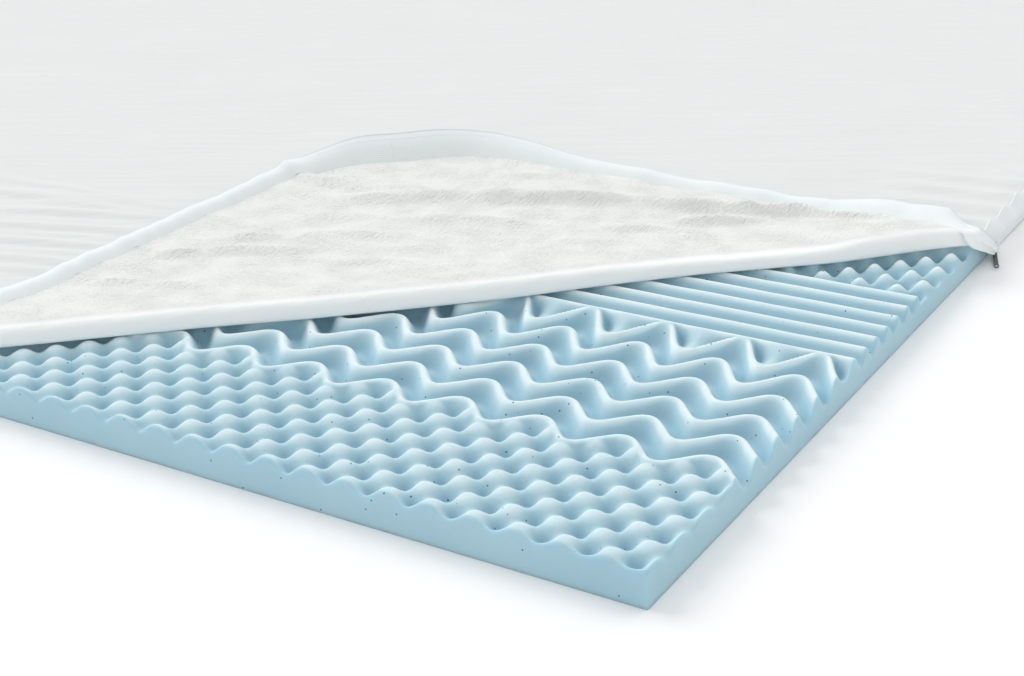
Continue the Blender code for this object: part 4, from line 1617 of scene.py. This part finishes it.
    def build_hanging(self, cloth: bpy.types.Material,
                      tape: bpy.types.Material) -> list[bpy.types.Object]:
        """The band at the four sides, and the closed zip along the right side's foot.

        Args:
            cloth: the band's knit.
            tape: the zip's tape.

        Returns:
            The pieces.
        """
        top = PANEL_HEIGHT + CLOTH
        near, left_side = -PANEL_OVERHANG - self.seam_gap, SLAB_WIDTH + PANEL_OVERHANG
        back, corner = SLAB_LENGTH + PANEL_OVERHANG, CLOTH + GAP
        hem, tape_top = self.hem_height, self.hem_height + self.tape_width
        sides = [
            (Side.FRONT, (self.front_start, near), (left_side, near), (0, -1), hem),
            (Side.LEFT, (left_side + GAP, near - corner), (left_side + GAP, back + corner),
             (1, 0), hem),
            (Side.BACK, (near, back + GAP), (left_side, back + GAP), (0, 1), hem),
            (Side.RIGHT, (near, self.right_start), (near, back + corner), (-1, 0),
             tape_top + self.zip_gap),
        ]
        made = []
        for side, start, end, outward, foot in sides:
            strip = Strip(f"band_cloth_{side.value}_side", f"side_band_{side.value}", "band_cloth",
                          cloth, CLOTH)
            slant = self.right_slant if side is Side.RIGHT else 0.0
            made.append(self.hanging(strip, start, end, outward, foot, top, self.bulge, slant))
        closed = Strip("zip_closed_cloth", "zip_closed", "zip_tape", tape, TAPE)
        made.append(self.hanging(closed, (near, self.zip_start), (near, back - GAP), (-1, 0),
                                 hem, tape_top, 0.0))
        return made


# ---- Zip's metal ----------------------------------------------------------------------------


def enamel_slider(material: bpy.types.Material) -> None:
    """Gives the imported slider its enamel."""
    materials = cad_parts["zip_slider"].data.materials
    materials.clear()
    materials.append(material)


@dataclass
class ZipPuller:
    """The slider's puller: a flat tab with an eye at its free end, lying down to the surface."""

    slab: SlabFrame
    start: tuple[float, float, float] = (-0.0045, 0.8245, 0.0040)
    end: tuple[float, float, float] = (-0.0195, 0.7825, 0.0030)     # the eye's centre
    width: float = 0.0046
    thickness: float = 0.0008
    eye_radius: float = 0.0028
    hole_radius: float = 0.0019
    eye_stretch: float = 2.0        # of the eye, an oval along the tab
    corners: int = 72

    def build(self, material: bpy.types.Material) -> bpy.types.Object:
        """The tab's outline around its hole: the greater of the eye's circle and the tab's sides.

        In polar terms about the hole, at a turn t from the tab's direction, the tab reaches
        min(length / cos t, half width / |sin t|). The outline and the hole are then stretched
        along the tab. Four rings of corners make the plate: hole and outline, below and above.

        Args:
            material: the puller's lacquered metal.

        Returns:
            The piece.
        """
        start, end = np.array(self.start), np.array(self.end)
        run = np.linalg.norm(start - end)
        along, length = (start - end) / run, run / self.eye_stretch
        across = np.cross(along, (0.0, 0.0, 1.0))
        across /= np.linalg.norm(across)
        normal = np.cross(across, along)
        share = np.linspace(-1, 1, self.corners, endpoint=False)
        turn = pi * np.sign(share) * share ** 2
        cosine, sine = np.cos(turn), np.sin(turn)
        ahead, aside = np.maximum(cosine, TINY), np.maximum(np.abs(sine), TINY)
        tab = np.where(cosine > 0, np.minimum(length / ahead, self.width / 2 / aside), 0)
        outline = np.maximum(tab, self.eye_radius)
        hole = np.full_like(turn, self.hole_radius)
        half = self.thickness / 2
        levels = ((hole, -half), (hole, half), (outline, half), (outline, -half))
        rings = [end + (reach * cosine * self.eye_stretch)[:, None] * along
                 + (reach * sine)[:, None] * across + level * normal for reach, level in levels]
        index = np.arange(len(rings) * self.corners).reshape(len(rings), -1)
        after, beside = np.roll(index, -1, axis=1), np.roll(index, -1, axis=0)
        faces = np.stack([index, after, np.roll(beside, -1, axis=1), beside], axis=-1)
        points = self.slab.to_row(*np.concatenate(rings).T)
        piece = new_piece("puller_tab", points, faces.reshape(-1, 4).tolist())
        piece.data.shade_flat()
        turn_outwards(piece)
        piece.data.materials.append(material)
        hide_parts("zip_puller")
        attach(piece, "root")
        return piece


# ---- Studio ---------------------------------------------------------------------------------


@dataclass(frozen=True)
class Window:
    """A broad light from far away."""

    name: str
    travel: tuple[float, float, float]  # the direction in which it shines
    strength: float                     # its irradiance, in watts per square metre
    angle: float                        # how wide it looks from the object, in degrees

    def build(self) -> None:
        """Puts the light into the scene."""
        data = bpy.data.lights.new(self.name, "SUN")
        data.energy, data.angle = self.strength, radians(self.angle)
        lamp = bpy.data.objects.new(self.name, data)
        lamp.rotation_euler = Vector(self.travel).to_track_quat("-Z", "Y").to_euler()
        bpy.context.scene.collection.objects.link(lamp)


@dataclass
class Studio:
    """Plain floor, soft light and the photograph's camera."""

    slab: SlabFrame
    # Camera: its place from the bare corner's foot, and its axes in the row frame.
    position: tuple[float, float, float] = (0.4698, -0.9682, 0.6795)
    right: tuple[float, float, float] = (0.8601, 0.5100, -0.0105)
    up: tuple[float, float, float] = (-0.1950, 0.3479, 0.9170)
    back: tuple[float, float, float] = (0.4714, -0.7867, 0.3987)
    lens: float = 61.76
    sensor_width: float = 36.0
    sight: float = 100.0            # distance up to which the camera sees
    # Floor
    floor_half: float = 40.0
    floor_drop: float = 0.0002      # below the topper
    paper: tuple[str, str] = ("#FCFCFC", "#FFFFFF")
    paper_clouds: float = 3.0       # a metre
    # Light
    sky: str = "#FCFDFE"
    sky_strength: float = 0.48
    windows: tuple[Window, ...] = (
        Window("window", (0.78, -0.12, -0.61), 1.60, 50),
        Window("rear_window", (-0.20, -0.76, -0.62), 1.00, 60),
        Window("front_window", (-0.30, 0.88, -0.36), 0.70, 90))

    def camera(self) -> None:
        """The camera, placed from the slab's near bottom corner."""
        data = bpy.data.cameras.new("camera")
        data.lens, data.sensor_width, data.clip_end = self.lens, self.sensor_width, self.sight
        camera = bpy.data.objects.new("camera", data)
        turn = Matrix((self.right, self.up, self.back)).transposed()
        place = Matrix.Translation(self.slab.near_corner() + Vector(self.position))
        camera.matrix_world = place @ turn.to_quaternion().to_matrix().to_4x4()
        bpy.context.scene.collection.objects.link(camera)
        bpy.context.scene.camera = camera

    def floor(self) -> None:
        """A floor of matt white paper, a little under the topper."""
        half, height = self.floor_half, -self.floor_drop
        points = np.array([(-half, -half, height), (half, -half, height), (half, half, height),
                           (-half, half, height)])
        floor = new_piece("floor", points, [[0, 1, 2, 3]])
        paper = Finish("matt_backdrop_paper", roughness=0.9, specular=0.0)
        grain = paper.node("TexNoise", {"Scale": self.paper_clouds},
                           {"Vector": paper.coordinates(Coordinates.OBJECT)})
        dim, bright = self.paper
        tone = paper.node("MixRGB", {"Color1": linear(dim), "Color2": linear(bright)},
                          {"Fac": grain.outputs[0]})
        floor.data.materials.append(paper.join(tone.outputs[0], None))

    def lights(self) -> None:
        """A bright surrounding, broad windows from the left and from behind, a low one in front."""
        world = bpy.data.worlds.new("studio")
        world.use_nodes = True
        surround = world.node_tree.nodes["Background"]
        surround.inputs[0].default_value = linear(self.sky)
        surround.inputs[1].default_value = self.sky_strength
        bpy.context.scene.world = world
        for window in self.windows:
            window.build()
        bpy.context.scene.view_settings.view_transform = "Standard"

    def build(self) -> None:
        """Everything around the object."""
        self.camera()
        self.floor()
        self.lights()


def main() -> None:
    """Builds the topper and its studio."""
    logging.basicConfig(level=logging.INFO, format="%(message)s")
    slab, fold = SlabFrame.from_frame(), Fold()
    LOG.info("foam: %s", FoamSlab(slab).build(GelFoam().make()).name)
    panel = TopPanel(slab, fold)
    LOG.info("panel: %s", panel.build(PanelKnit().make()).name)
    bands = SideBands(slab, fold, panel)
    knit, tape = BandKnit().make(), ZipTape().make()
    for piece in bands.build_turned(knit, tape) + bands.build_hanging(knit, tape):
        LOG.info("band: %s", piece.name)
    enamel_slider(CoatedZinc("enamelled_zinc", "#E4E7E7", 0.45).make())
    black = CoatedZinc("black_lacquered_zinc", "#0E0E10", 0.35).make()
    LOG.info("puller: %s", ZipPuller(slab).build(black).name)
    Studio(slab).build()


if __name__ == "__main__":
    main()
